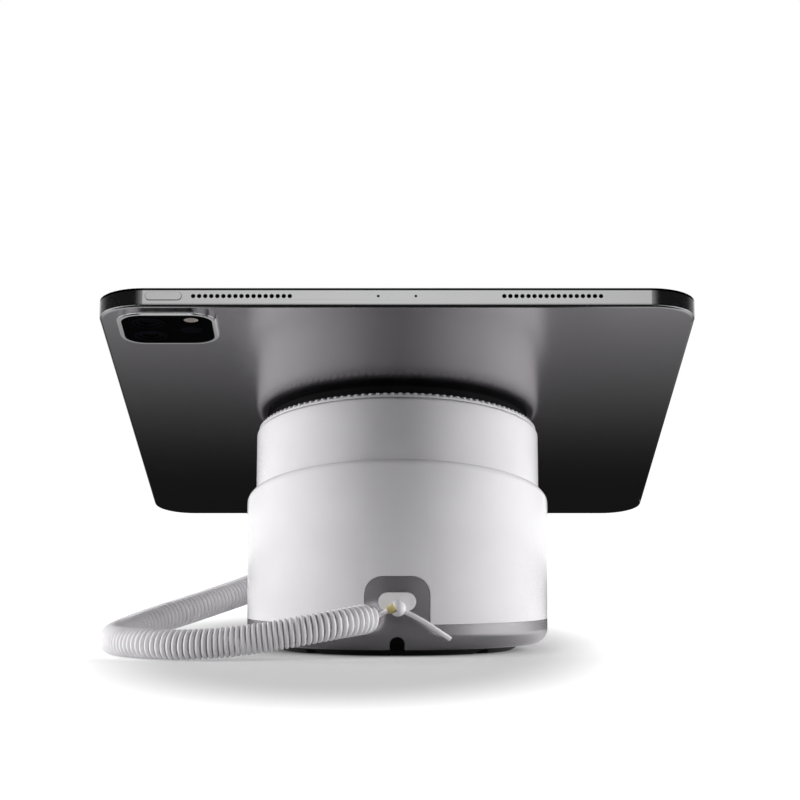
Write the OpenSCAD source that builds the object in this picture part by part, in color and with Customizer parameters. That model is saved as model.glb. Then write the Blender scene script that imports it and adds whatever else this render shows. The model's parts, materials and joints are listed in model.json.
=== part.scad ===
// Tablet security kiosk stand: a weighted round base with a slanted top, a swivel head that
// carries a slab tablet on an adhesive pad, and a curly lead from the base to the tablet.
// Origin at the centre of the base's foot, +Z up, the tablet's back and the lead at -Y.

/* [Base] */
// Radius of the base
base_r = 50; // [49:0.5:53]
// Wall of the moulded shells
wall = 2.4; // [1.8:0.1:2.8]
// Height of the seam between the trim ring and the base shell
seam_z = 10.4; // [9.4:0.1:13]
// Height of the slanted rim at the base's axis
rim_z = 50.3; // [48:0.1:58]
// Slope of the rim, the head and the tablet
tilt = 15; // [12:0.5:17]
// Rounding of the rim's shoulder
shoulder_r = 3; // [2:0.1:4]
// Depth of the round recess that the head turns in
recess_d = 2.5; // [2.2:0.1:3.2]
// Rounding of the trim ring's lower edge
ring_round = 5; // [3:0.5:5.5]
// How far the rubber foot's lower edge is inside the steel plate's
foot_inset = 5; // [3:0.5:8]
// How far the rubber foot's upper edge is inside the steel plate's
foot_lip = 0.4; // [0.2:0.1:1]
// Thickness of the rubber foot
foot_t = 2.7; // [2:0.1:3.2]
// Thickness of the steel base plate
plate_t = 5.7; // [5:0.1:6.2]
// How far the steel plate's edge is inside the base's
plate_inset = 7; // [6.6:0.1:8]
// How far the trim ring reaches below the steel plate
ring_drop = 0.6; // [0.2:0.1:1]

/* [Rear port] */
// Width of the arched panel on the trim ring
arch_w = 20.8; // [18:0.2:24]
// Height of the arched panel's top
arch_top = 25.8; // [24:0.2:30]
// Corner radius of the arched panel
arch_r = 6; // [4:0.5:8]
// Length of the port window
window_l = 12.2; // [10:0.2:14]
// Height of the port window
window_h = 6.2; // [5.6:0.2:7]
// Height of the port window's centre
window_z = 17.8; // [17.4:0.1:18.4]
// How far the port insert stands out of the base
insert_proud = 0.6; // [0.4:0.1:1]
// Width of the cable notch under the window
notch_w = 4.8; // [4.4:0.1:5.4]
// Height of the cable notch's top
notch_top = 6.6; // [6:0.1:7.4]

/* [Head] */
// Width of the rim around the head
rim_lip = 3; // [2.7:0.1:4.5]
// Height of the head above the rim
head_h = 21.5; // [19:0.5:26]
// Rounding of the head's upper edge
head_round = 1; // [0.5:0.1:1.6]
// Swing of the head each way from portrait
swing = 90; // [60:5:120]
// Radius of the swivel spindle
spindle_r = 7.95; // [7:0.05:8.5]
// Running clearance of the spindle in its bush
run_gap = 0.05; // [0.02:0.01:0.08]
// Thickness of the bush wall
bush_wall = 2; // [1.5:0.1:2.2]
// How far the spindle's flange is inside the head's wall
flange_inset = 11; // [9:0.5:12]
// Number of teeth on the lock ring
ring_teeth = 120; // [90:10:150]
// How far the lock ring's teeth are inside the head's wall
ring_inset = 0.6; // [0.3:0.1:2]
// Depth of the lock ring's teeth
tooth_d = 0.9; // [0.5:0.1:1.2]
// Height of the lock ring's tier
ring_tier = 1.6; // [1.4:0.1:2.4]
// Height of the plain band under the lock ring's teeth
ring_band = 0.7; // [0.4:0.1:0.9]
// Thickness of the adhesive pad
pad_t = 3; // [2:0.1:3.6]
// How far the adhesive pad's edge is inside the head's wall
pad_inset = 3.4; // [2.5:0.1:7]

/* [Tablet] */
// Width of the tablet
tablet_w = 179.7; // [170:0.1:190]
// Length of the tablet
tablet_l = 250; // [240:0.2:260]
// Thickness of the tablet
tablet_t = 5.9; // [5.6:0.1:7]
// Corner radius of the tablet
tablet_r = 14; // [10:0.5:18]
// Rounding of the tablet's back edge
tablet_round = 0.9; // [0.5:0.1:1.2]
// Side wall of the tablet's housing
side_wall = 2.4; // [2.2:0.1:3]
// Back wall of the tablet's housing
back_wall = 0.9; // [0.7:0.1:1]
// Thickness of the cover glass
glass_t = 0.8; // [0.6:0.1:0.9]
// How far the tablet sits above the head's axis, along its length
tablet_shift = 0.8; // [0:0.1:4]
// Radius of a speaker hole
speaker_hole_r = 0.66; // [0.4:0.02:0.8]
// Spacing of the speaker holes
speaker_pitch = 1.8; // [1.7:0.05:2]
// Speaker holes in a row
speaker_count = 17; // [11:2:19]
// Distance of a speaker row's middle from the tablet's side
speaker_edge = 43.5; // [40:0.5:48]
// Height of the edge holes above the tablet's back
edge_hole_z = 3.4; // [3:0.1:3.6]
// Length of the top button
top_button_l = 10.7; // [9:0.1:12]
// Distance of the top button's middle from the tablet's side
top_button_x = 20.2; // [19:0.2:24]
// Length of a volume button
volume_l = 11; // [9:0.2:13]
// Width of the edge buttons
button_w = 2.4; // [2:0.1:2.8]
// Travel of the edge buttons
button_travel = 0.3; // [0.2:0.05:0.4]

/* [Rear camera] */
// Side of the square camera plateau
camera_w = 30.2; // [27:0.2:32]
// Corner radius of the camera plateau
camera_r = 8; // [6:0.5:9]
// Height of the camera plateau above the tablet's back
camera_rise = 1.3; // [1.2:0.1:2.2]
// Distance of the camera plateau from the tablet's top
camera_edge = 3; // [2.4:0.2:7]
// Distance of the camera plateau from the tablet's side
camera_side = 5.4; // [4:0.2:7]
// Width of the plateau's metal rim
camera_rim = 1.4; // [1:0.1:1.8]

/* [Curly lead] */
// Diameter of the lead's wire
wire_d = 1.5; // [1.3:0.1:1.8]
// Outer diameter of the curls
curl_od = 9.6; // [8.6:0.1:9.8]
// Number of curls
curl_count = 84; // [60:1:88]
// Length of the straight lead before the curls
lead_in = 6; // [4:0.1:8]
// Length of the straight lead after the curls
lead_out = 27; // [24:0.5:34]

/* [Hidden] */
$fn = 96;
// Clearance between fixed mouldings
fit_gap = 0.15;
// Clearance between pieces that move past each other
move_gap = 0.3;
// Clearance of a screw in its hole
screw_gap = 0.05;
// Overshoot of cutting tools
cut = 1;

// Radii in the base
head_r = base_r - rim_lip;
plate_r = base_r - plate_inset;
foot_r = plate_r - foot_inset;
flange_r = head_r - flange_inset;
ring_r = head_r - ring_inset;
pad_r = head_r - pad_inset;

// Levels in the base
plate_top = foot_t + plate_t;
ring_in = plate_r + fit_gap;
ledge_in = plate_r - 2;
shell_in = base_r - wall;
board_lift = 6.6;
board_z = plate_top + board_lift;
board_t = 1.6;

// Screw posts of the base shell
post_r = 3.6;
post_inset = 6;
post_radius = plate_r - post_inset;
post_h = 15;
rib_t = 2;
post_angles = [45, 135, 225, 315];
screw_r = 1.4;
screw_head_r = 2.7;
screw_head_h = 2;
screw_sink = 0.4;
screw_bite = 6;

// Bolt holes for a counter, and the standoffs of the alarm board
counter_hole_r = 2.1;
counter_inset = 18;
counter_radius = plate_r - counter_inset;
counter_angles = [90, 210, 330];
standoff_inset = 17;
standoff_radius = plate_r - standoff_inset;
standoff_r = 2.5;
stud_r = 1.2;
board_gap = 2.4;
board_r = post_radius - post_r - board_gap;

// Cable way from the notch to the power inlet
inlet_inset = 16;
inlet_y = inlet_inset - plate_r;
inlet_hole_r = 5.5;
groove_gap = 0.2;
groove_w = notch_w + 2 * groove_gap;
inlet_l = 9;
inlet_h = 3.3;
inlet_t = 6;
inlet_wall = 0.3;

// Sounder and backup cell
sounder_r = 0.27 * standoff_radius;
sounder_h = 7;
sounder_y = 0.6 * standoff_radius;
cell_l = 1.3 * standoff_radius;
cell_w = 0.84 * standoff_radius;
cell_h = 5.4;
cell_round = 2;

// Levels on the head's axis, from the rim's plane
deck_top = -recess_d;
deck_bottom = deck_top - wall;
carrier_t = 6;
carrier_inset = 19;
carrier_r = head_r - carrier_inset;
carrier_bottom = deck_bottom - carrier_t;
carrier_screw_inset = 5;
carrier_screw_radius = carrier_r - carrier_screw_inset;
washer_t = 1.5;
washer_r = carrier_screw_radius - carrier_screw_inset;
flange_bottom = deck_top + washer_t;
flange_t = 4;
flange_top = flange_bottom + flange_t;
bush_r = spindle_r + run_gap + bush_wall;
spring_t = 1.6;
nut_t = 8;
nut_wall = 5.8;
nut_r = spindle_r + run_gap + nut_wall;
spindle_over = 2;
spindle_end = carrier_bottom - spring_t - nut_t - spindle_over;
spindle_bore_r = 4;
head_bottom = deck_top + move_gap;
head_roof = head_h - wall;
head_post_r = 4;
head_post_inset = 11;
head_post_radius = flange_r - head_post_inset;
counterbore = 2.4;
deck_sink = 1.2;
head_post_angles = [0, 90, 180, 270];

// Stop pin in the flange's curved groove
stop_inset = 4.5;
stop_radius = flange_r - stop_inset;
stop_r = 1.5;
stop_gap = 0.4;
groove_r = stop_r + stop_gap;
groove_d = 2.2;
stop_short = 0.6;

// Levels of the mount on the head
mount_inset = 8.4;
mount_r = ring_r - mount_inset;
mount_sink = 0.4;
ring_gap = 0.1;
tooth_back = 0.1;
mount_top = head_h + ring_tier;
tablet_z = mount_top + pad_t;

// Tablet inside
glass_inset = 0.6;
glass_z = tablet_t - glass_t;
panel_t = 1.1;
panel_z = glass_z - panel_t;
panel_margin = 10;
cell_t = panel_z - back_wall - move_gap;
half_w = tablet_w / 2;
half_l = tablet_l / 2;
speaker_x = half_w - speaker_edge;
speaker_l = speaker_pitch * speaker_count;
speaker_box_w = 14;
speaker_set = 1.4;
speaker_round = 2;
mesh_t = 0.8;
mesh_h = 2.6;
pack_w = 0.35 * tablet_w;
pack_l = 0.52 * tablet_l;
pack_x = 0.263 * tablet_w;
pack_y = 0.05 * tablet_l;
logic_w = 0.146 * tablet_w;
logic_l = 0.6 * tablet_l;
logic_t = 1;
chip_w = 0.112 * tablet_w;
chip_l = 0.105 * tablet_l;
chip_at = [-0.2 * tablet_l, -0.04 * tablet_l, 0.16 * tablet_l];
mic_x = 5.6;
mic_r = 0.4;
button_proud = 0.35;
button_in = 1.2;
volume_y = [38, 54];

// Rear camera, from the plateau's centre
camera_x = -half_w + camera_side + camera_w / 2;
camera_y = -half_l + camera_edge + camera_w / 2;
camera_in = camera_w - 2 * camera_rim;
camera_glass_t = 0.9;
camera_glass_z = -camera_rise + 0.25;
lens_at = [[-0.19 * camera_w, -0.2 * camera_w], [-0.19 * camera_w, 0.21 * camera_w]];
lens_r = 0.168 * camera_w;
lens_proud = 0.2;
sensor_at = [0.23 * camera_w, 0.05 * camera_w];
sensor_r = 0.11 * camera_w;
flash_at = [0.245 * camera_w, -0.275 * camera_w];
flash_r = 0.072 * camera_w;

// Charging plug, from the tablet's frame
socket_z = 2.95;
socket_l = 9;
socket_h = 3.1;
socket_wall = 0.3;
socket_depth = 7.4;
plug_l = 8.3;
plug_h = 2.4;
plug_in = 6;
boot_l = 13;
boot_t = 8;
boot_gap = 0.4;
boot_bottom = -8.1;

// Bead, ferrule and lead, in the base's frame
bead_r = 2.6;
bead_at = [0.2, -base_r - 2.3, 15.7];
bead_flat = 1.8;
lead_flat = 0.6;
lead_rise = 0.9;
insert_face = -base_r - insert_proud;
lead_slope = 28;
lead_way = [-cos(lead_slope), 0, -sin(lead_slope)];
lead_lift = [-sin(lead_slope), 0, cos(lead_slope)];
tail_slope = 25;
tail_way = [cos(tail_slope), 0, -sin(tail_slope)];
ferrule_r = 1.25;
ferrule_l = 2.6;
lead_gap = 0.1;
lead_start = bead_at + (lead_flat + ferrule_l + lead_gap) * lead_way + lead_rise * lead_lift;
tail_start = bead_at + (bead_flat + lead_gap) * tail_way;
lead_end_local = [0, half_l - tablet_shift + boot_gap + boot_t / 2, tablet_z + boot_bottom - 2 * lead_gap];
lead_end = [
    0,
    lead_end_local[1] * cos(tilt) + lead_end_local[2] * sin(tilt),
    rim_z - lead_end_local[1] * sin(tilt) + lead_end_local[2] * cos(tilt)
];
lead_up = [0, sin(tilt), cos(tilt)];

// Route of the curly lead's axis: out of the ferrule, down to the counter, round, and up
// behind the base to the charging plug
lead_route = concat(
    [lead_start + wire_d * lead_way, lead_start + 2 * wire_d * lead_way + [0, -0.4, 0]],
    [
        [-7.6, -55.2, 12.8], [-10.6, -57.8, 12.5], [-14.2, -60.5, 12], [-18.6, -63, 11.3],
        [-24, -65, 10.4], [-32, -66.5, 9], [-42, -67, 7.3], [-52, -66.8, 6],
        [-62, -65.6, 5.2], [-71, -62.6, 4.9], [-79, -57.4, 4.9], [-85.5, -50, 4.9],
        [-90, -40.5, 4.9], [-92, -30, 5], [-91.5, -19, 5.6], [-88, -9, 7],
        [-81.5, -0.5, 9.3], [-73, 8, 11.8], [-64.5, 17, 14.4], [-56.5, 27, 16.9],
        [-49, 40, 19.4], [-40, 58, 22.6], [-31, 76, 25.6], [-22.5, 94, 28.2],
        [-15, 110, 29.8]
    ],
    [lead_end + [-6, -6.8, -5.6], lead_end + [-1.2, -1.9, -4.6], lead_end - wire_d * lead_up]
);
// Route of the lead's free tail, hanging beside the port
tail_route = [
    tail_start + wire_d * tail_way, [5.8, -53, 13.1], [9.3, -53.1, 11.1],
    [12.9, -52.9, 8.7], [16.9, -51.9, 6]
];
curl_r = (curl_od - wire_d) / 2;
curl_rings = 8;
wire_sides = 6;
tail_sides = 8;
route_steps = 10;

// Vector helpers
function unit(v) = v / norm(v);
function on_circle(r, a) = [r * cos(a), r * sin(a)];
function smooth(t) = let(u = min(max(t, 0), 1)) u * u * (3 - 2 * u);

// Point of a smooth curve through four route points
function spline(a, b, c, d, t) =
    0.5 * (2 * b + (c - a) * t + (2 * a - 5 * b + 4 * c - d) * t * t
    + (3 * b - a - 3 * c + d) * t * t * t);
function curve(route, steps) =
    let(n = len(route))
    concat(
        [
            for (i = [0 : n - 2], k = [0 : steps - 1])
                spline(route[max(i - 1, 0)], route[i], route[i + 1],
                    route[min(i + 2, n - 1)], k / steps)
        ],
        [route[n - 1]]
    );
function lengths(line) =
    [for (i = 0, s = 0; i < len(line); i = i + 1,
        s = s + (i < len(line) ? norm(line[i] - line[i - 1]) : 0)) s];

// Rings of a tube along a line, turned as little as possible from one to the next
function tangent(line, i) =
    unit(line[min(i + 1, len(line) - 1)] - line[max(i - 1, 0)]);
function carried(v, t) = unit(v - (v * t) * t);
function normals(line, first) =
    [for (i = 0, v = carried(first, tangent(line, 0)); i < len(line); i = i + 1,
        v = carried(v, tangent(line, min(i, len(line) - 1)))) v];
function ring(p, t, v, r, sides) =
    let(w = cross(t, v))
    [for (k = [0 : sides - 1]) p + r * (cos(360 * k / sides) * v + sin(360 * k / sides) * w)];

// Closed tube of triangles along a line
module tube(line, d, sides) {
    rows = normals(line, [0, 0.2, 1]);
    points = [for (i = [0 : len(line) - 1])
        each ring(line[i], tangent(line, i), rows[i], d / 2, sides)];
    last = len(line) - 1;
    walls = [for (i = [0 : last - 1], k = [0 : sides - 1])
        let(a = i * sides + k, b = i * sides + (k + 1) % sides)
        each [[a, a + sides, b], [b, a + sides, b + sides]]];
    caps = [for (k = [1 : sides - 2])
        each [[0, k, k + 1], [last * sides, last * sides + k + 1, last * sides + k]]];
    polyhedron(points = points, faces = concat(walls, caps));
}

// Frames of the head and of the tablet's back
module on_head() {
    translate([0, 0, rim_z]) rotate([-tilt, 0, 0]) children();
}
module on_tablet() {
    on_head() translate([0, -tablet_shift, tablet_z]) children();
}
module around(radius, angles) {
    for (a = angles) rotate(a) translate([radius, 0, 0]) children();
}
// Lays a flat outline upright, from y_front back to y_back
module upright(y_front, y_back) {
    translate([0, y_back, 0]) rotate([90, 0, 0]) linear_extrude(y_back - y_front) children();
}

// Flat outlines
module slab_outline(w, l, r) {
    square([w - 2 * r, l], center = true);
    square([w, l - 2 * r], center = true);
    for (x = [-1, 1], y = [-1, 1]) translate([x * (w / 2 - r), y * (l / 2 - r)]) circle(r);
}
module pill_outline(l, h) {
    square([l - h, h], center = true);
    for (x = [-1, 1]) translate([x * (l - h) / 2, 0]) circle(h / 2);
}
module arch_outline(w, bottom, top, r) {
    translate([-w / 2, bottom]) square([w, top - r - bottom]);
    translate([r - w / 2, bottom]) square([w - 2 * r, top - bottom]);
    for (x = [-1, 1]) translate([x * (w / 2 - r), top - r]) circle(r);
}

// Screw that points up, with its head's seat at the origin
module screw(r, length, head_r, head_h) {
    cylinder(r = r, h = length);
    translate([0, 0, -head_h]) difference() {
        cylinder(r = head_r, h = head_h);
        translate([0, 0, -cut]) cylinder(r = head_r * 0.45, h = cut + head_h * 0.6, $fn = 6);
    }
}

module foot_pad() {
    color("#1c1c1e") difference() {
        cylinder(r1 = foot_r, r2 = plate_r - foot_lip, h = foot_t);
        around(counter_radius, counter_angles)
            translate([0, 0, -cut]) cylinder(r = counter_hole_r + 1, h = foot_t + 2 * cut);
        around(post_radius, post_angles)
            translate([0, 0, -cut]) cylinder(r = screw_head_r + 0.8, h = foot_t + 2 * cut);
        translate([-groove_w / 2, -plate_r - cut, -cut])
            cube([groove_w, plate_r + cut + inlet_y, foot_t + 2 * cut]);
        translate([0, inlet_y, -cut]) cylinder(r = inlet_hole_r, h = foot_t + 2 * cut);
    }
}

module base_plate() {
    color("#8d9095") difference() {
        translate([0, 0, foot_t]) cylinder(r = plate_r, h = plate_t);
        around(counter_radius, counter_angles)
            translate([0, 0, foot_t - cut]) cylinder(r = counter_hole_r, h = plate_t + 2 * cut);
        around(post_radius, post_angles) {
            translate([0, 0, foot_t - cut])
                cylinder(r = screw_r + screw_gap, h = plate_t + 2 * cut);
            translate([0, 0, foot_t - cut])
                cylinder(r = screw_head_r + screw_gap, h = screw_head_h + screw_sink + cut);
        }
        translate([-groove_w / 2, -plate_r - cut, foot_t - cut])
            cube([groove_w, plate_r + cut + inlet_y, notch_top - foot_t + cut]);
        translate([0, inlet_y, foot_t - cut])
            cylinder(r = inlet_hole_r, h = plate_t + 2 * cut);
    }
}

module base_screws() {
    color("#b9bcc0") around(post_radius, post_angles)
        translate([0, 0, foot_t + screw_head_h + screw_sink])
            screw(screw_r, plate_t - screw_head_h - screw_sink + screw_bite, screw_head_r, screw_head_h);
}

module ring_section() {
    low = foot_t - ring_drop;
    difference() {
        translate([ring_in, low]) square([base_r - ring_in, seam_z - low]);
        difference() {
            translate([base_r - ring_round, low - cut]) square([ring_round + cut, ring_round + cut]);
            translate([base_r - ring_round, low + ring_round]) circle(ring_round);
        }
    }
    translate([ledge_in, plate_top]) square([ring_in - ledge_in + cut, seam_z - plate_top]);
}
module port_window(grow) {
    translate([0, window_z]) pill_outline(window_l + 2 * grow, window_h + 2 * grow);
}
module base_ring() {
    color("#6b6d70") {
        difference() {
            rotate_extrude() ring_section();
            upright(-base_r - cut, -ring_in + cut) {
                translate([0, notch_top - notch_w / 2]) circle(notch_w / 2);
                translate([-notch_w / 2, 0]) square([notch_w, notch_top - notch_w / 2]);
            }
        }
        difference() {
            intersection() {
                difference() {
                    cylinder(r = base_r, h = arch_top + cut);
                    translate([0, 0, -cut]) cylinder(r = shell_in, h = arch_top + 3 * cut);
                }
                upright(-base_r - cut, -shell_in + wall + cut)
                    arch_outline(arch_w, seam_z - cut / 2, arch_top, arch_r);
            }
            upright(-base_r - cut, -shell_in + 2 * wall) port_window(0);
        }
    }
}

// Slanted top of the base with its rounded shoulder, about the head's axis
module shoulder() {
    edge = base_r / cos(tilt) + shoulder_r * tan(tilt) + 0.02;
    depth = base_r + rim_z;
    rotate_extrude() {
        translate([0, -depth]) square([edge - shoulder_r, depth]);
        translate([0, -depth]) square([2 * base_r, depth - shoulder_r]);
        translate([edge - shoulder_r, -shoulder_r]) circle(shoulder_r);
    }
}
module base_shell() {
    top = rim_z + base_r;
    color("#f4f4f3") difference() {
        union() {
            difference() {
                intersection() {
                    translate([0, 0, seam_z]) cylinder(r = base_r, h = top - seam_z);
                    on_head() shoulder();
                }
                intersection() {
                    translate([0, 0, seam_z - cut]) cylinder(r = shell_in, h = top);
                    on_head() translate([0, 0, deck_bottom - top])
                        cylinder(r = 2 * base_r, h = top);
                }
            }
            for (a = post_angles) rotate(a) {
                translate([post_radius, 0, plate_top]) cylinder(r = post_r, h = post_h);
                translate([post_radius, -rib_t / 2, seam_z])
                    cube([base_r - wall / 2 - post_radius, rib_t, post_h - seam_z + plate_top]);
            }
        }
        around(post_radius, post_angles)
            translate([0, 0, plate_top - cut]) cylinder(r = screw_r + screw_gap, h = screw_bite + 2 * cut);
        upright(-base_r - cut, -shell_in + wall + cut)
            arch_outline(arch_w + 2 * fit_gap, seam_z - cut, arch_top + fit_gap, arch_r);
        on_head() {
            translate([0, 0, deck_top]) cylinder(r = head_r + move_gap, h = top);
            translate([0, 0, deck_bottom - cut]) cylinder(r = bush_r + screw_gap, h = wall + 2 * cut);
            around(carrier_screw_radius, head_post_angles)
                translate([0, 0, deck_bottom - cut])
                    cylinder(r = screw_r + screw_gap, h = wall + 2 * cut);
            around(carrier_screw_radius, head_post_angles)
                translate([0, 0, deck_top - deck_sink])
                    cylinder(r = screw_head_r + screw_gap, h = deck_sink + cut);
            around(stop_radius, [-90])
                translate([0, 0, deck_bottom - cut]) cylinder(r = stop_r + screw_gap, h = wall + 2 * cut);
        }
    }
}

module port_insert() {
    flange_y = -shell_in + fit_gap + 0.5;
    color("#f1f1ef") {
        upright(insert_face, flange_y + 3) port_window(-fit_gap);
        upright(flange_y, flange_y + 3) port_window(1.2);
    }
}

// Bead with a flat against the insert, an open slot for the ferrule and a hole for the tail
module lead_bead() {
    color("#f3f3f1") translate(bead_at) difference() {
        rotate([90, 0, 0]) rotate(90) sphere(bead_r);
        rotate([0, -90 - lead_slope, 0]) translate([lead_rise, 0, lead_flat]) {
            cylinder(r = ferrule_r + fit_gap, h = 2 * bead_r);
            translate([-ferrule_r - fit_gap, -2 * bead_r, 0])
                cube([2 * (ferrule_r + fit_gap), 2 * bead_r, 2 * bead_r]);
        }
        rotate([0, 90 + tail_slope, 0]) translate([0, 0, bead_flat])
            cylinder(r = wire_d / 2 + fit_gap, h = 2 * bead_r);
        translate([-2 * bead_r, insert_face - bead_at[1], -2 * bead_r]) cube(4 * bead_r);
    }
}

module lead_ferrule() {
    color("#c9a04a") translate(bead_at) rotate([0, -90 - lead_slope, 0])
        translate([lead_rise, 0, lead_flat]) cylinder(r = ferrule_r, h = ferrule_l);
}

module alarm_board() {
    color("#2f6b45") difference() {
        translate([0, 0, board_z]) cylinder(r = board_r, h = board_t);
        around(standoff_radius, post_angles)
            translate([0, 0, board_z - cut]) cylinder(r = stud_r + screw_gap, h = board_t + 2 * cut);
    }
}

module board_standoffs() {
    color("#c8b273") around(standoff_radius, post_angles) {
        translate([0, 0, plate_top]) cylinder(r = standoff_r, h = board_z - plate_top);
        translate([0, 0, board_z]) cylinder(r = stud_r, h = board_t + stud_r / 2);
    }
}

module sounder() {
    color("#202124") translate([0, sounder_y, board_z + board_t]) difference() {
        cylinder(r = sounder_r, h = sounder_h);
        translate([0, 0, sounder_h - cut]) cylinder(r = sounder_r / 6, h = 2 * cut);
    }
}

module backup_cell() {
    color("#3d5a8a") translate([0, cell_round, plate_top]) linear_extrude(cell_h)
        slab_outline(cell_l, cell_w, cell_round);
}

module power_inlet() {
    color("#b5b8bc") translate([0, inlet_y, board_z]) rotate([180, 0, 0]) difference() {
        linear_extrude(inlet_t) pill_outline(inlet_l, inlet_h);
        translate([0, 0, cut]) linear_extrude(inlet_t)
            pill_outline(inlet_l - 2 * inlet_wall, inlet_h - 2 * inlet_wall);
    }
}

module carrier_plate() {
    color("#7d8085") on_head() difference() {
        translate([0, 0, carrier_bottom]) cylinder(r = carrier_r, h = carrier_t);
        translate([0, 0, carrier_bottom - cut]) cylinder(r = bush_r + screw_gap, h = carrier_t + 2 * cut);
        around(carrier_screw_radius, head_post_angles)
            translate([0, 0, carrier_bottom - cut])
                cylinder(r = screw_r + screw_gap, h = carrier_t + 2 * cut);
    }
}

module carrier_screws() {
    color("#b9bcc0") on_head() around(carrier_screw_radius, head_post_angles)
        translate([0, 0, deck_top - deck_sink]) rotate([180, 0, 0])
            screw(screw_r, wall - deck_sink + carrier_t - cut, screw_head_r, deck_sink - 0.2);
}

module swivel_bush() {
    color("#b08d57") on_head() difference() {
        translate([0, 0, carrier_bottom]) cylinder(r = bush_r, h = deck_top - carrier_bottom);
        translate([0, 0, carrier_bottom - cut])
            cylinder(r = spindle_r + run_gap, h = deck_top - carrier_bottom + 2 * cut);
    }
}

module thrust_washer() {
    color("#e9e5d8") on_head() difference() {
        translate([0, 0, deck_top]) cylinder(r = washer_r, h = washer_t);
        translate([0, 0, deck_top - cut]) cylinder(r = spindle_r + move_gap, h = washer_t + 2 * cut);
    }
}

module stop_pin() {
    color("#a7aaae") on_head() around(stop_radius, [-90])
        translate([0, 0, deck_bottom]) cylinder(r = stop_r, h = wall + washer_t + groove_d - stop_short);
}

module head_shell() {
    color("#f6f6f5") on_head() difference() {
        union() {
            difference() {
                rotate_extrude() {
                    translate([0, head_bottom]) square([head_r, head_h - head_round - head_bottom]);
                    translate([0, head_bottom]) square([head_r - head_round, head_h - head_bottom]);
                    translate([head_r - head_round, head_h - head_round]) circle(head_round);
                }
                translate([0, 0, head_bottom - cut])
                    cylinder(r = head_r - wall, h = head_roof - head_bottom + cut);
            }
            around(head_post_radius, head_post_angles)
                translate([0, 0, flange_top])
                    cylinder(r = head_post_r, h = head_roof - flange_top + wall / 2);
        }
        around(head_post_radius, head_post_angles) {
            translate([0, 0, flange_top - cut]) cylinder(r = screw_r + screw_gap, h = screw_bite + 2 * cut);
            translate([0, 0, head_h - screw_bite - cut])
                cylinder(r = screw_r + screw_gap, h = screw_bite + 2 * cut);
        }
    }
}

// Curved groove that the stop pin runs in, seen from the spindle
module stop_groove() {
    translate([0, 0, flange_bottom - cut]) {
        rotate(-90 - swing) rotate_extrude(angle = 2 * swing)
            translate([stop_radius - groove_r, 0]) square([2 * groove_r, groove_d + cut]);
        around(stop_radius, [-90 - swing, -90 + swing]) cylinder(r = groove_r, h = groove_d + cut);
    }
}
module swivel_spindle() {
    color("#9a9da1") on_head() difference() {
        union() {
            translate([0, 0, flange_bottom]) cylinder(r = flange_r, h = flange_t);
            translate([0, 0, spindle_end]) cylinder(r = spindle_r, h = flange_bottom - spindle_end + cut);
        }
        translate([0, 0, spindle_end - cut])
            cylinder(r = spindle_bore_r, h = flange_top - spindle_end + 2 * cut);
        stop_groove();
        around(head_post_radius, head_post_angles) {
            translate([0, 0, flange_bottom - cut])
                cylinder(r = screw_r + screw_gap, h = flange_t + 2 * cut);
            translate([0, 0, flange_bottom - cut])
                cylinder(r = screw_head_r + screw_gap, h = counterbore + cut);
        }
    }
}

module spindle_screws() {
    color("#b9bcc0") on_head() around(head_post_radius, head_post_angles)
        translate([0, 0, flange_bottom + counterbore])
            screw(screw_r, flange_t - counterbore + screw_bite, screw_head_r, screw_head_h);
}

module spring_washer() {
    color("#77797d") on_head() difference() {
        translate([0, 0, carrier_bottom - spring_t]) cylinder(r = nut_r, h = spring_t);
        translate([0, 0, carrier_bottom - spring_t - cut])
            cylinder(r = spindle_r + run_gap, h = spring_t + 2 * cut);
    }
}

module spindle_nut() {
    color("#8f9296") on_head() translate([0, 0, carrier_bottom - spring_t - nut_t]) difference() {
        cylinder(r = nut_r, h = nut_t, $fn = 6);
        translate([0, 0, -cut]) cylinder(r = spindle_r + run_gap, h = nut_t + 2 * cut);
    }
}

module mount_plate() {
    color("#3a3b3e") on_head() difference() {
        translate([0, 0, head_h]) cylinder(r = mount_r, h = ring_tier);
        around(head_post_radius, head_post_angles) {
            translate([0, 0, head_h - cut]) cylinder(r = screw_r + screw_gap, h = ring_tier + 2 * cut);
            translate([0, 0, head_h + mount_sink])
                cylinder(r = screw_head_r + screw_gap, h = ring_tier + cut);
        }
    }
}

module mount_screws() {
    color("#b9bcc0") on_head() around(head_post_radius, head_post_angles)
        translate([0, 0, head_h + mount_sink]) rotate([180, 0, 0])
            screw(screw_r, screw_bite, screw_head_r, ring_tier - mount_sink - 0.1);
}

module lock_ring() {
    step = 360 / ring_teeth;
    tip = ring_r - tooth_back;
    root = tip - tooth_d;
    teeth = [for (i = [0 : ring_teeth - 1]) each [
        on_circle(root, step * i), on_circle(tip, step * (i + 0.25)),
        on_circle(tip, step * (i + 0.55)), on_circle(root, step * (i + 0.8))
    ]];
    color("#e9e9e7") on_head() translate([0, 0, head_h + ring_gap]) difference() {
        union() {
            cylinder(r = ring_r, h = ring_band);
            linear_extrude(ring_tier - 2 * ring_gap) polygon(teeth);
        }
        translate([0, 0, -cut]) cylinder(r = mount_r + run_gap, h = ring_tier + 2 * cut);
    }
}

module adhesive_pad() {
    color("#141416") on_head() translate([0, 0, mount_top]) cylinder(r = pad_r, h = pad_t);
}

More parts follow.
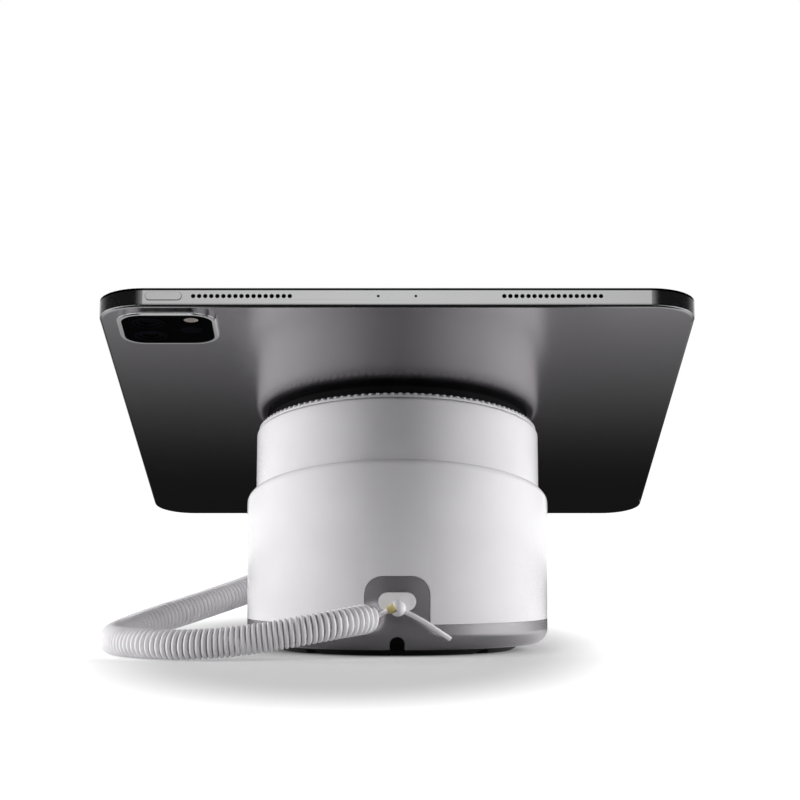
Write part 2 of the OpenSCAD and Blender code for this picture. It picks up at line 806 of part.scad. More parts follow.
// Slab with round corners and a rounded lower edge
module soft_slab(w, l, t, r, edge) {
    translate([0, 0, edge]) linear_extrude(t - edge) slab_outline(w, l, r);
    linear_extrude(t) slab_outline(w - 2 * edge, l - 2 * edge, r - edge);
    for (x = [-1, 1]) translate([x * (w / 2 - edge), 0, edge]) rotate([90, 0, 0])
        cylinder(r = edge, h = l - 2 * r, center = true);
    for (y = [-1, 1]) translate([0, y * (l / 2 - edge), edge]) rotate([0, 90, 0])
        cylinder(r = edge, h = w - 2 * r, center = true);
    for (x = [-1, 1], y = [-1, 1]) translate([x * (w / 2 - r), y * (l / 2 - r), edge])
        rotate_extrude() translate([r - edge, 0]) circle(edge);
}
// Hole into the tablet's short edges, from outside through the wall
module edge_hole(x, side, r) {
    translate([x, side * (half_l - side_wall / 2), edge_hole_z]) rotate([90, 0, 0])
        cylinder(r = r, h = side_wall + 2 * cut, center = true);
}
module button_pocket(l, grow, depth) {
    linear_extrude(depth) pill_outline(l + 2 * grow, button_w + 2 * grow);
}
// Frames of the edge buttons: +Z points into the tablet
module at_top_button() {
    translate([-half_w + top_button_x, -half_l, edge_hole_z]) rotate([-90, 0, 0]) children();
}
module at_volume(i) {
    translate([-half_w, -half_l + volume_y[i], edge_hole_z]) rotate([90, 0, 90]) children();
}
module edge_button(l) {
    translate([0, 0, -button_proud]) linear_extrude(button_proud + button_in) pill_outline(l, button_w);
}
module tablet_housing() {
    pocket_d = button_in + button_travel + 0.1;
    color("#5b5c60") on_tablet() difference() {
        soft_slab(tablet_w, tablet_l, tablet_t, tablet_r, tablet_round);
        translate([0, 0, back_wall]) linear_extrude(tablet_t)
            slab_outline(tablet_w - 2 * side_wall, tablet_l - 2 * side_wall, tablet_r - side_wall);
        translate([0, 0, glass_z]) linear_extrude(tablet_t)
            slab_outline(tablet_w - 2 * glass_inset, tablet_l - 2 * glass_inset, tablet_r - glass_inset);
        for (x = [-speaker_x, speaker_x], side = [-1, 1], i = [0 : speaker_count - 1])
            edge_hole(x + (i - (speaker_count - 1) / 2) * speaker_pitch, side, speaker_hole_r);
        for (x = [-mic_x, mic_x]) edge_hole(x, -1, mic_r);
        translate([0, half_l - side_wall - cut, socket_z]) rotate([-90, 0, 0])
            linear_extrude(side_wall + 2 * cut)
                pill_outline(socket_l + 2 * screw_gap, socket_h + 2 * screw_gap);
        translate([camera_x, camera_y, -cut]) linear_extrude(back_wall + 2 * cut)
            slab_outline(camera_in, camera_in, camera_r - camera_rim);
        at_top_button() translate([0, 0, -cut]) button_pocket(top_button_l, fit_gap, cut + pocket_d);
        for (i = [0, 1]) at_volume(i)
            translate([0, 0, -cut]) button_pocket(volume_l, fit_gap, cut + pocket_d);
    }
}

module display_glass() {
    inset = glass_inset + fit_gap;
    color("#0c0d10") on_tablet() translate([0, 0, glass_z]) linear_extrude(glass_t)
        slab_outline(tablet_w - 2 * inset, tablet_l - 2 * inset, tablet_r - inset);
}

module display_panel() {
    color("#15171c") on_tablet() translate([0, 0, panel_z]) linear_extrude(panel_t)
        slab_outline(tablet_w - 2 * panel_margin, tablet_l - 2 * panel_margin, 3);
}

module tablet_cells() {
    color("#2b2d31") on_tablet() for (x = [-1, 1])
        translate([x * pack_x, pack_y, back_wall]) linear_extrude(cell_t) slab_outline(pack_w, pack_l, 3);
}

module logic_board() {
    color("#254e38") on_tablet() translate([0, pack_y, back_wall]) {
        linear_extrude(logic_t) slab_outline(logic_w, logic_l, 1.5);
        for (y = chip_at)
            translate([0, y, logic_t]) linear_extrude(logic_t) slab_outline(chip_w, chip_l, 1);
    }
}

module speaker_boxes() {
    color("#1f2023") on_tablet() for (x = [-1, 1], y = [-1, 1])
        translate([x * speaker_x, y * (half_l - side_wall - speaker_set - speaker_box_w / 2), back_wall])
            linear_extrude(cell_t) slab_outline(0.8 * speaker_l, speaker_box_w, speaker_round);
}

module speaker_meshes() {
    color("#101113") on_tablet() for (x = [-1, 1], y = [-1, 1])
        translate([x * speaker_x, y * (half_l - side_wall - mesh_t / 2), edge_hole_z])
            cube([speaker_l, mesh_t, mesh_h], center = true);
}

module charge_socket() {
    color("#8c8f94") on_tablet() translate([0, half_l - socket_depth, socket_z]) rotate([-90, 0, 0])
        difference() {
            linear_extrude(socket_depth - 0.1) pill_outline(socket_l, socket_h);
            translate([0, 0, 0.6]) linear_extrude(socket_depth)
                pill_outline(socket_l - 2 * socket_wall, socket_h - 2 * socket_wall);
        }
}

module camera_rim_frame() {
    color("#77787c") on_tablet() translate([camera_x, camera_y, 0]) difference() {
        union() {
            translate([0, 0, 0.5 - camera_rise]) linear_extrude(camera_rise - 0.5)
                slab_outline(camera_w, camera_w, camera_r);
            translate([0, 0, -camera_rise]) linear_extrude(0.6)
                slab_outline(camera_w - 0.8, camera_w - 0.8, camera_r - 0.4);
        }
        translate([0, 0, -camera_rise - cut]) linear_extrude(camera_rise + 2 * cut)
            slab_outline(camera_in, camera_in, camera_r - camera_rim);
    }
}

// Places of the lenses, the sensor and the flash in the camera's glass
module at_lenses() {
    for (p = lens_at) translate([camera_x + p[0], camera_y + p[1], camera_glass_z]) children();
}
module at_sensor() {
    translate([camera_x + sensor_at[0], camera_y + sensor_at[1], camera_glass_z]) children();
}
module at_flash() {
    translate([camera_x + flash_at[0], camera_y + flash_at[1], camera_glass_z]) children();
}
module camera_glass() {
    color("#08080a") on_tablet() difference() {
        translate([camera_x, camera_y, camera_glass_z]) linear_extrude(camera_glass_t)
            slab_outline(camera_in - 2 * screw_gap, camera_in - 2 * screw_gap, camera_r - camera_rim);
        at_lenses() translate([0, 0, -cut]) cylinder(r = lens_r + screw_gap, h = camera_glass_t + 2 * cut);
        at_sensor() translate([0, 0, -cut])
            cylinder(r = sensor_r + screw_gap, h = camera_glass_t + 2 * cut);
        at_flash() translate([0, 0, -cut]) cylinder(r = flash_r + screw_gap, h = camera_glass_t + 2 * cut);
    }
}

module camera_lenses() {
    depth = back_wall - camera_glass_z + 1.4;
    color("#1a1b20") on_tablet() {
        at_lenses() difference() {
            translate([0, 0, -lens_proud]) cylinder(r = lens_r, h = depth + lens_proud);
            translate([0, 0, -cut]) cylinder(r = lens_r - 0.7, h = cut + 0.15);
            translate([0, 0, -cut]) cylinder(r = lens_r * 0.5, h = cut + 0.5);
        }
        at_sensor() translate([0, 0, 0.05]) cylinder(r = sensor_r, h = depth - 0.6);
    }
}

module camera_flash() {
    color("#f3ddd0") on_tablet() at_flash() translate([0, 0, 0.05])
        cylinder(r = flash_r, h = back_wall - camera_glass_z - fit_gap);
}

module top_button() {
    color("#66676b") on_tablet() at_top_button() edge_button(top_button_l);
}

module volume_up() {
    color("#66676b") on_tablet() at_volume(0) edge_button(volume_l);
}

module volume_down() {
    color("#66676b") on_tablet() at_volume(1) edge_button(volume_l);
}

module plug_contact() {
    color("#c4c7cb") on_tablet() translate([0, half_l - plug_in, socket_z]) rotate([-90, 0, 0])
        linear_extrude(plug_in + boot_gap) pill_outline(plug_l, plug_h);
}

module plug_boot() {
    top = socket_z + plug_h / 2 + 1.4;
    color("#f0f0ee") on_tablet() translate([0, half_l + boot_gap + boot_t / 2, boot_bottom])
        linear_extrude(top - boot_bottom) slab_outline(boot_l, boot_t, 2.5);
}

// Wire of the curly lead: straight out of the ferrule, curled, and straight into the plug
function lead_line() =
    let(
        axis = concat([lead_start], curve(lead_route, route_steps), [lead_end]),
        at = lengths(axis),
        total = at[len(at) - 1],
        table = [for (k = [0 : 2]) [for (i = [0 : len(at) - 1]) [at[i], axis[i][k]]]],
        first = lead_in,
        span = total - lead_in - lead_out,
        turn = span / curl_count,
        count = curl_count * curl_rings,
        outs = [for (s = [0 : 1.5 : first - 0.8]) s],
        ins = [for (s = [1 : 2 : lead_out - 1]) total - lead_out + s]
    )
    [
        for (s = concat(outs, [for (i = [0 : count]) first + span * i / count], ins, [total]))
            let(
                p = [for (k = [0 : 2]) lookup(s, table[k])],
                a = [for (k = [0 : 2]) lookup(max(s - 1, 0), table[k])],
                b = [for (k = [0 : 2]) lookup(min(s + 1, total), table[k])],
                side = unit(cross(b - a, [0, 0, 1])),
                up = unit(cross(side, b - a)),
                r = curl_r * smooth((s - first) / (1.5 * turn)) * smooth((first + span - s) / (1.5 * turn)),
                angle = 360 * (s - first) / turn
            )
            p + r * (cos(angle) * side + sin(angle) * up)
    ];
// Least distance between one curl and the next, less the wire's diameter
function least_gap(line) =
    min([for (i = [0 : len(line) - 13], j = [5 : 12]) norm(line[i + j] - line[i])]) - wire_d;

module curly_lead() {
    line = lead_line();
    echo(least_gap_of_the_curls = least_gap(line), rings = len(line));
    color("#f2f2f0") tube(line, wire_d, wire_sides);
}

module lead_tail() {
    color("#f2f2f0") tube(concat([tail_start], curve(tail_route, 2)), wire_d, tail_sides);
}

foot_pad();
base_plate();
base_screws();
base_ring();
base_shell();
port_insert();
lead_bead();
lead_ferrule();
alarm_board();
board_standoffs();
sounder();
backup_cell();
power_inlet();
carrier_plate();
carrier_screws();
swivel_bush();
thrust_washer();
stop_pin();
head_shell();
swivel_spindle();
spindle_screws();
spring_washer();
spindle_nut();
mount_plate();
mount_screws();
lock_ring();
adhesive_pad();
tablet_housing();
display_glass();
display_panel();
tablet_cells();
logic_board();
speaker_boxes();
speaker_meshes();
charge_socket();
camera_rim_frame();
camera_glass();
camera_lenses();
camera_flash();
top_button();
volume_up();
volume_down();
plug_contact();
plug_boot();
curly_lead();
lead_tail();
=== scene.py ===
"""Looks of a tablet security kiosk stand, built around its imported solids.

The camera and the finishes come first, then the curly lead and its tail, the shapes that the
solids only sketch, the finish of every solid, and last the lamps, the surround and the floor.
Lengths are in metres, and MM turns a size in millimetres into them.
"""

import json
import logging
import math
from dataclasses import dataclass, field
from enum import Enum
from typing import Callable, Optional, Sequence, Union

import bpy
import numpy as np
from mathutils import Matrix, Vector


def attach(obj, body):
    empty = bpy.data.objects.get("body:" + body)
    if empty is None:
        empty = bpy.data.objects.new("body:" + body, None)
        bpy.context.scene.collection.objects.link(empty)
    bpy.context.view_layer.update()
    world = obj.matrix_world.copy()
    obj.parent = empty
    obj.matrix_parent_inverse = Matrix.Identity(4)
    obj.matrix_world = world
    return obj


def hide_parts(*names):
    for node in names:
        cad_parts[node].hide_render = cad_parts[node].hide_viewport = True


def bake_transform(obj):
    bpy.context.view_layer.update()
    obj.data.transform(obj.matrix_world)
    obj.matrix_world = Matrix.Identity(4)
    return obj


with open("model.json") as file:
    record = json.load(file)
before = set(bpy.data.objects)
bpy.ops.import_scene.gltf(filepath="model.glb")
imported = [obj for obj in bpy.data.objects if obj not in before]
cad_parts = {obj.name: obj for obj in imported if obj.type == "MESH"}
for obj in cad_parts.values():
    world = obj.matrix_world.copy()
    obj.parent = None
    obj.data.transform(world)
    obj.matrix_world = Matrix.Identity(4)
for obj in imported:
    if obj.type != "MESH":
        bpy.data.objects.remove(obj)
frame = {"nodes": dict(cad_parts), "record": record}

LOG = logging.getLogger("kiosk_stand")

Number = Union[int, float]
Pair = tuple[float, float]
Colour = tuple[float, float, float]
Place = tuple[float, float, float]
EdgeTest = Callable[[Vector, Vector], bool]

MM = 0.001
NEAR = 0.001 * MM
TILT = math.radians(15.0)
RIM_Z = 50.3 * MM
TABLET_Z = 26.1 * MM
TABLET_SHIFT = 0.8 * MM
TABLET_HALF_L = 125.0 * MM
BEAD = Vector((0.2, -52.3, 15.7)) * MM
HEAD_AXIS = Vector((0.0, math.sin(TILT), math.cos(TILT)))
HEAD_DOWN = Vector((0.0, math.cos(TILT), -math.sin(TILT)))

WHITE: Colour = (1.0, 1.0, 1.0)

# Middle of a noise's values, and the range that most of them keep to
NOISE_MID = 0.5
NOISE_LOW = 0.3
NOISE_HIGH = 0.7

# Sockets of a Mix node that mixes colours
MIX_SHARE = 0
MIX_FIRST = 6
MIX_SECOND = 7
MIX_RESULT = 2


class Body(Enum):
    """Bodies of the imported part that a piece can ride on."""

    BASE = "base"
    HEAD = "head"


class Slot(Enum):
    """Material slots of the record that new pieces take their finish from."""

    WHITE = "white_plastic"
    LEAD = "lead_white"


def on_head(x: float, y: float, z: float) -> Vector:
    """Turns a point of the head's slanted frame into the part's frame.

    Args:
        x: Metres to the right.
        y: Metres down the slope, towards the tablet's lower edge.
        z: Metres along the head's axis, from the rim's plane.

    Returns:
        The point in the part's frame.
    """
    return Vector((x, 0.0, RIM_Z)) + y * HEAD_DOWN + z * HEAD_AXIS


def slope_way(degrees: float, side: float) -> Vector:
    """Gives a direction to one side that falls by an angle."""
    angle = math.radians(degrees)
    return Vector((side * math.cos(angle), 0.0, -math.sin(angle)))


def head_matrix() -> Matrix:
    """Gives the head's slanted frame, from the rim's plane up, as a matrix."""
    return Matrix.Translation(on_head(0.0, 0.0, 0.0)) @ Matrix.Rotation(-TILT, 4, "X")


class Value:
    """A shader socket that takes part in Python expressions."""

    def __init__(self, graph: "Wiring", socket: bpy.types.NodeSocket) -> None:
        """Keeps the socket and the nodes it belongs to."""
        self.graph = graph
        self.socket = socket

    def _math(self, operation: str, *others: Union["Value", Number]) -> "Value":
        """Adds a Math node on this value and others.

        Args:
            operation: The Math node's operation.
            others: Further operands.

        Returns:
            The result.
        """
        return self.graph.math(operation, self, *others)

    def __add__(self, other: Union["Value", Number]) -> "Value":
        """Adds."""
        return self._math("ADD", other)

    __radd__ = __add__

    def __sub__(self, other: Union["Value", Number]) -> "Value":
        """Subtracts."""
        return self._math("SUBTRACT", other)

    def __rsub__(self, other: Number) -> "Value":
        """Subtracts from a number."""
        return self.graph.math("SUBTRACT", other, self)

    def __mul__(self, other: Union["Value", Number]) -> "Value":
        """Multiplies."""
        return self._math("MULTIPLY", other)

    __rmul__ = __mul__

    def __truediv__(self, other: Union["Value", Number]) -> "Value":
        """Divides."""
        return self._math("DIVIDE", other)

    def __abs__(self) -> "Value":
        """Drops the sign."""
        return self._math("ABSOLUTE")

    def power(self, other: Number) -> "Value":
        """Raises to a power."""
        return self._math("POWER", other)

    def hypot(self, other: "Value") -> "Value":
        """Gives the distance that two lengths at a right angle span."""
        return (self * self + other * other).power(0.5)

    def upper(self, other: Union["Value", Number]) -> "Value":
        """Takes the larger of two."""
        return self._math("MAXIMUM", other)

    def step(self, low: float, high: float) -> "Value":
        """Rises smoothly from 0 at low to 1 at high.

        Args:
            low: Value that gives 0.
            high: Value that gives 1.

        Returns:
            The eased value.
        """
        return self.graph.add(
            "ShaderNodeMapRange",
            {"interpolation_type": "SMOOTHSTEP"},
            {"Value": self, "From Min": low, "From Max": high},
        )


class Wiring:
    """A tree of shader nodes that starts empty."""

    def __init__(self, tree: bpy.types.NodeTree) -> None:
        """Clears the tree and keeps it."""
        self.tree = tree
        self.tree.nodes.clear()

    def add(
        self,
        kind: str,
        settings: Optional[dict] = None,
        inputs: Optional[dict] = None,
        output: Union[int, str, None] = 0,
    ) -> Optional[Value]:
        """Adds a node.

        Args:
            kind: The node's type.
            settings: Properties set before its sockets.
            inputs: Values or links of its sockets, by name or number.
            output: Which output to hand back.

        Returns:
            The chosen output.
        """
        node = self.tree.nodes.new(kind)
        for key, value in (settings or {}).items():
            setattr(node, key, value)
        for key, value in (inputs or {}).items():
            self.feed(node.inputs[key], value)
        return Value(self, node.outputs[output]) if output is not None else None

    def feed(self, socket: bpy.types.NodeSocket, value: Union[Value, Number, Sequence[float]]) -> None:
        """Links or sets one socket.

        Args:
            socket: The socket to feed.
            value: A value to link, or a constant.
        """
        if isinstance(value, Value):
            self.tree.links.new(value.socket, socket)
        elif isinstance(value, (int, float)):
            socket.default_value = value
        else:
            opaque = (1.0,) if socket.type == "RGBA" else ()
            socket.default_value = (*value, *opaque)

    def math(self, operation: str, *operands: Union[Value, Number]) -> Value:
        """Adds a Math node on values and numbers."""
        return self.add("ShaderNodeMath", {"operation": operation}, dict(enumerate(operands)))

    def axes(self, where: Value) -> tuple[Value, Value, Value]:
        """Splits coordinates.

        Args:
            where: The coordinates.

        Returns:
            Their x, y and z.
        """
        node = self.tree.nodes.new("ShaderNodeSeparateXYZ")
        self.feed(node.inputs[0], where)
        x, y, z = (Value(self, output) for output in node.outputs)
        return x, y, z

    def rays(self) -> tuple[Value, Value]:
        """Tells rays apart by where they come from.

        Returns:
            1 for the camera's own rays, and 1 for those that a reflection or glass passes on.
        """
        node = self.tree.nodes.new("ShaderNodeLightPath")
        seen, glossy, through = (
            Value(self, node.outputs[f"Is {kind} Ray"]) for kind in ("Camera", "Glossy", "Transmission")
        )
        return seen, glossy.upper(through)


class Graph(Wiring):
    """A material's nodes, with its Principled shader at the end."""

    def __init__(self, name: str) -> None:
        """Makes an empty material with a Principled shader.

        Args:
            name: The material's name.
        """
        self.material = bpy.data.materials.new(name)
        self.material.use_nodes = True
        super().__init__(self.material.node_tree)
        self.output = self.tree.nodes.new("ShaderNodeOutputMaterial")
        self.shader = self.tree.nodes.new("ShaderNodeBsdfPrincipled")
        self.tree.links.new(self.shader.outputs[0], self.output.inputs[0])

    def place(self, turn: Sequence[float] = (0, 0, 0), move: Sequence[float] = (0, 0, 0)) -> Value:
        """Gives the piece's own coordinates in metres.

        Args:
            turn: Rotation of the pattern's frame, in radians.
            move: Shift of the pattern's frame, in metres, after the turn.

        Returns:
            The coordinates.
        """
        own = self.add("ShaderNodeTexCoord", output="Object")
        if not any(turn) and not any(move):
            return own
        return self.add(
            "ShaderNodeMapping", {}, {"Vector": own, "Rotation": tuple(turn), "Location": tuple(move)}
        )

    def tablet_place(self) -> Value:
        """Gives coordinates in the tablet's slanted frame, with z up from its back."""
        sunk = (0.0, RIM_Z * math.sin(TILT) + TABLET_SHIFT, -RIM_Z * math.cos(TILT) - TABLET_Z)
        return self.place((TILT, 0.0, 0.0), sunk)

    def noise(self, where: Value, scale: float, detail: float = 2.0, rough: float = 0.5) -> Value:
        """Gives soft random values about 0.5.

        Args:
            where: Coordinates.
            scale: Features in a metre.
            detail: Octaves.
            rough: Strength of the finer octaves.

        Returns:
            The noise.
        """
        inputs = {"Vector": where, "Scale": scale, "Detail": detail, "Roughness": rough}
        return self.add("ShaderNodeTexNoise", {}, inputs)

    def blend(
        self,
        share: Union[Value, Number],
        first: Union[Value, Colour],
        second: Union[Value, Colour],
        way: str = "MIX",
    ) -> Value:
        """Mixes two colours.

        Args:
            share: 0 for the first colour, 1 for the second.
            first: A colour.
            second: A colour.
            way: The node's way of mixing.

        Returns:
            The mixed colour.
        """
        return self.add(
            "ShaderNodeMix",
            {"data_type": "RGBA", "blend_type": way},
            {MIX_SHARE: share, MIX_FIRST: first, MIX_SECOND: second},
            output=MIX_RESULT,
        )

    def bump(self, height: Value, distance: float, strength: float = 1.0) -> Value:
        """Turns a height into a normal.

        Args:
            height: The height, about 0 to 1.
            distance: Metres that a height of 1 stands for.
            strength: Share of the effect.

        Returns:
            The normal.
        """
        return self.add(
            "ShaderNodeBump", {}, {"Height": height, "Distance": distance, "Strength": strength}
        )

    def set(self, **sockets: Union[Value, Number, Sequence[float]]) -> None:
        """Sets the shader's sockets, named with underscores for spaces."""
        for name, value in sockets.items():
            self.feed(self.shader.inputs[name.replace("_", " ")], value)


def tint(colour: Colour, share: float) -> Colour:
    """Scales a colour's brightness."""
    return (colour[0] * share, colour[1] * share, colour[2] * share)


def shades(colour: Colour, drift: float) -> tuple[Colour, Colour]:
    """Gives a colour a little darker and a little lighter."""
    return tint(colour, 1.0 - drift), tint(colour, 1.0 + drift)


@dataclass(frozen=True)
class Finish:
    """A surface's look, which each kind of finish wires in its own way."""

    name: str

    def material(self) -> bpy.types.Material:
        """Builds the material.

        Returns:
            The material.
        """
        paint = Graph(self.name)
        self.wire(paint)
        return paint.material

    def wire(self, paint: Graph) -> None:
        """Wires the material; each kind of finish has its own."""
        raise NotImplementedError


@dataclass(frozen=True)
class MouldedPlastic(Finish):
    """Injection-moulded plastic with an even skin, a fine grain and slow gloss changes."""

    colour: Colour
    roughness: float = 0.3
    grain_size: float = 0.4 * MM
    grain_depth: float = 0.004 * MM
    grain_gloss: float = 0.06
    coat: float = 0.0
    coat_roughness: float = 0.08
    drift: float = 0.03
    gloss: float = 0.5
    metal: float = 0.0
    index: float = 1.5
    slow_scale: float = 22.0
    slow_gloss: float = 0.08
    haze_scale: float = 140.0
    haze_share: float = 0.4

    def wire(self, paint: Graph) -> None:
        """Wires the material.

        Args:
            paint: Its nodes.
        """
        at = paint.place()
        slow = paint.noise(at, self.slow_scale, 3.0)
        grain = paint.noise(at, 1.0 / self.grain_size, 3.0, 0.6)
        haze = paint.noise(at, self.haze_scale)
        share = (slow + (haze - NOISE_MID) * self.haze_share).step(NOISE_LOW, NOISE_HIGH)
        wear = (slow - NOISE_MID) * self.slow_gloss + (grain - NOISE_MID) * self.grain_gloss
        paint.set(
            Base_Color=paint.blend(share, *shades(self.colour, self.drift)),
            Roughness=self.roughness + wear,
            Normal=paint.bump(grain, self.grain_depth),
            Metallic=self.metal,
            Coat_Weight=self.coat,
            Coat_Roughness=self.coat_roughness,
            Specular_IOR_Level=self.gloss,
            IOR=self.index,
        )


@dataclass(frozen=True)
class AnodisedMetal(Finish):
    """Bead-blasted, anodised aluminium with a fine sparkle."""

    colour: Colour
    roughness: float = 0.36
    bead_size: float = 0.12 * MM
    bead_depth: float = 0.003 * MM
    sparkle: float = 0.07
    slow_scale: float = 14.0
    slow_gloss: float = 0.05
    touch_scale: float = 60.0
    touch_gloss: float = 0.03

    def wire(self, paint: Graph) -> None:
        """Wires the material.

        Args:
            paint: Its nodes.
        """
        at = paint.place()
        bead = paint.noise(at, 1.0 / self.bead_size, 2.0, 0.7)
        slow = paint.noise(at, self.slow_scale)
        touch = paint.noise(at, self.touch_scale, 4.0, 0.6).step(0.55, 0.75)
        paint.set(
            Base_Color=paint.blend(bead.step(NOISE_LOW, NOISE_HIGH), *shades(self.colour, self.sparkle)),
            Metallic=1.0,
            Roughness=self.roughness + (slow - NOISE_MID) * self.slow_gloss + touch * self.touch_gloss,
            Normal=paint.bump(bead, self.bead_depth),
        )


@dataclass(frozen=True)
class TabletShell(Finish):
    """Anodised tablet shell: a blasted back painted darker as painted shade, a satin band painted lighter
    as painted sheen, and a black front edge.
    """

    # The back and the band are one aluminium: the back's darker tone is painted shade, and the chamfer's
    # and the band's lighter tones are painted sheen.
    back: Colour = (0.385, 0.37, 0.388)
    chamfer: Colour = (0.5, 0.5, 0.508)
    sheen_band: Colour = (0.6, 0.6, 0.606)
    front: Colour = (0.012, 0.012, 0.013)
    edge_tint: Colour = (0.7, 0.7, 0.7)
    chamfer_low: float = 0.1 * MM
    band_low: float = 1.25 * MM
    band_high: float = 5.2 * MM
    soft: float = 0.06 * MM
    roughness: float = 0.18
    band_gloss: float = 0.03
    bead_scale: float = 9000.0
    bead_depth: float = 0.0025 * MM
    sparkle: float = 0.08
    slow_scale: float = 14.0
    slow_gloss: float = 0.03
    touch_scale: float = 55.0
    touch_gloss: float = 0.02

    def wire(self, paint: Graph) -> None:
        """Wires the material, whose colour changes with the height from the tablet's back.

        Args:
            paint: Its nodes.
        """
        at = paint.tablet_place()
        _, _, z = paint.axes(at)
        bead = paint.noise(at, self.bead_scale, 2.0, 0.7)
        slow = paint.noise(at, self.slow_scale)
        touch = paint.noise(at, self.touch_scale, 4.0, 0.6).step(0.5, 0.8)
        # Tones by height: the back's painted shade, then the chamfer's and the band's painted sheen, then
        # the black front edge.
        tone: Union[Value, Colour] = self.back
        for height, colour in (
            (self.chamfer_low, self.chamfer),
            (self.band_low, self.sheen_band),
            (self.band_high, self.front),
        ):
            tone = paint.blend(z.step(height - self.soft, height + self.soft), tone, colour)
        grit = paint.blend(bead.step(0.25, 0.75), *shades(WHITE, self.sparkle))
        satin = z.step(0.0, self.band_low) * self.band_gloss
        wear = (slow - NOISE_MID) * self.slow_gloss + touch * self.touch_gloss
        paint.set(
            Base_Color=paint.blend(1.0, tone, grit, "MULTIPLY"),
            Metallic=1.0,
            Roughness=self.roughness - satin + wear,
            Specular_Tint=self.edge_tint,
            Normal=paint.bump(bead, self.bead_depth),
        )


@dataclass(frozen=True)
class PlatedMetal(Finish):
    """Turned metal with fine circular tool marks and faint stains."""

    colour: Colour
    roughness: float = 0.3
    mark: float = 0.15 * MM
    mark_depth: float = 0.004 * MM
    mark_gloss: float = 0.16
    stain_scale: float = 80.0
    stain_gloss: float = 0.08
    stain_dark: float = 0.9
    stain_light: float = 1.05

    def wire(self, paint: Graph) -> None:
        """Wires the material.

        Args:
            paint: Its nodes.
        """
        at = paint.place()
        x, y, _ = paint.axes(at)
        rings = paint.add("ShaderNodeCombineXYZ", {}, {"X": x.hypot(y)})
        turned = paint.noise(rings, 1.0 / self.mark, 3.0)
        stain = paint.noise(at, self.stain_scale, 3.0)
        dark, light = tint(self.colour, self.stain_dark), tint(self.colour, self.stain_light)
        wear = (turned - NOISE_MID) * self.mark_gloss + (stain - NOISE_MID) * self.stain_gloss
        paint.set(
            Base_Color=paint.blend(stain.step(NOISE_LOW, NOISE_HIGH), dark, light),
            Metallic=1.0,
            Roughness=self.roughness + wear,
            Normal=paint.bump(turned, self.mark_depth),
        )


@dataclass(frozen=True)
class BlackFoam(Finish):
    """Closed-cell foam or rubber, dull, with open pores and a little dust."""

    colour: Colour
    pore: float = 0.5 * MM
    depth: float = 0.05 * MM
    bump_share: float = 0.6
    roughness: float = 0.82
    pore_gloss: float = 0.1
    gloss: float = 0.3
    dust_scale: float = 160.0
    dust_tone: float = 1.8

    def wire(self, paint: Graph) -> None:
        """Wires the material.

        Args:
            paint: Its nodes.
        """
        at = paint.place()
        inputs = {"Vector": at, "Scale": 1.0 / self.pore}
        pores = paint.add("ShaderNodeTexVoronoi", {"feature": "F1"}, inputs)
        dust = paint.noise(at, self.dust_scale, 4.0).step(0.5, 0.8)
        paint.set(
            Base_Color=paint.blend(dust, self.colour, tint(self.colour, self.dust_tone)),
            Roughness=self.roughness - pores.step(0.0, 0.5) * self.pore_gloss,
            Normal=paint.bump(pores, self.depth, self.bump_share),
            Specular_IOR_Level=self.gloss,
        )


@dataclass(frozen=True)
class CableJacket(Finish):
    """Soft, satin cable jacket with a fine skin and faint handling marks."""

    colour: Colour
    roughness: float = 0.42
    skin_scale: float = 2600.0
    skin_depth: float = 0.006 * MM
    skin_gloss: float = 0.12
    mark_scale: float = 190.0
    mark_tone: float = 0.9
    sink: float = 0.08
    sink_depth: Colour = (1.0 * MM, 1.0 * MM, 0.9 * MM)
    coat: float = 0.1

    def wire(self, paint: Graph) -> None:
        """Wires the material.

        Args:
            paint: Its nodes.
        """
        at = paint.place()
        skin = paint.noise(at, self.skin_scale)
        mark = paint.noise(at, self.mark_scale, 3.0).step(0.5, 0.85)
        paint.set(
            Base_Color=paint.blend(mark, self.colour, tint(self.colour, self.mark_tone)),
            Roughness=self.roughness + (skin - NOISE_MID) * self.skin_gloss,
            Normal=paint.bump(skin, self.skin_depth),
            Subsurface_Weight=self.sink,
            Subsurface_Radius=self.sink_depth,
            Coat_Weight=self.coat,
        )


@dataclass(frozen=True)
class CoverGlass(Finish):
    """Black-backed cover glass: a border with a small lens, a dark display and light finger marks."""

    half_w: float = 80.4 * MM
    half_l: float = 115.6 * MM
    corner: float = 9.0 * MM
    soft: float = 0.05 * MM
    lens_y: float = -119.6 * MM
    lens_edge: Pair = (1.5 * MM, 1.7 * MM)
    display: Colour = (0.011, 0.012, 0.015)
    border: Colour = (0.004, 0.004, 0.0045)
    lens: Colour = (0.02, 0.025, 0.05)
    roughness: float = 0.04
    smear_scale: float = 26.0
    smear_gloss: float = 0.07
    coat_roughness: float = 0.02
    index: float = 1.52

    def wire(self, paint: Graph) -> None:
        """Wires the material.

        Args:
            paint: Its nodes.
        """
        x, y, _ = paint.axes(paint.tablet_place())
        dx = (abs(x) - (self.half_w - self.corner)).upper(0.0)
        dy = (abs(y) - (self.half_l - self.corner)).upper(0.0)
        outside = dx.hypot(dy).step(self.corner - self.soft, self.corner + self.soft)
        smear = paint.noise(paint.place(), self.smear_scale, 4.0, 0.6).step(0.5, 0.8)
        beyond_lens = x.hypot(y - self.lens_y).step(*self.lens_edge)
        dark = paint.blend(outside, self.display, self.border)
        paint.set(
            Base_Color=paint.blend(beyond_lens, self.lens, dark),
            Roughness=self.roughness + smear * self.smear_gloss,
            Coat_Weight=1.0,
            Coat_Roughness=self.coat_roughness,
            IOR=self.index,
        )


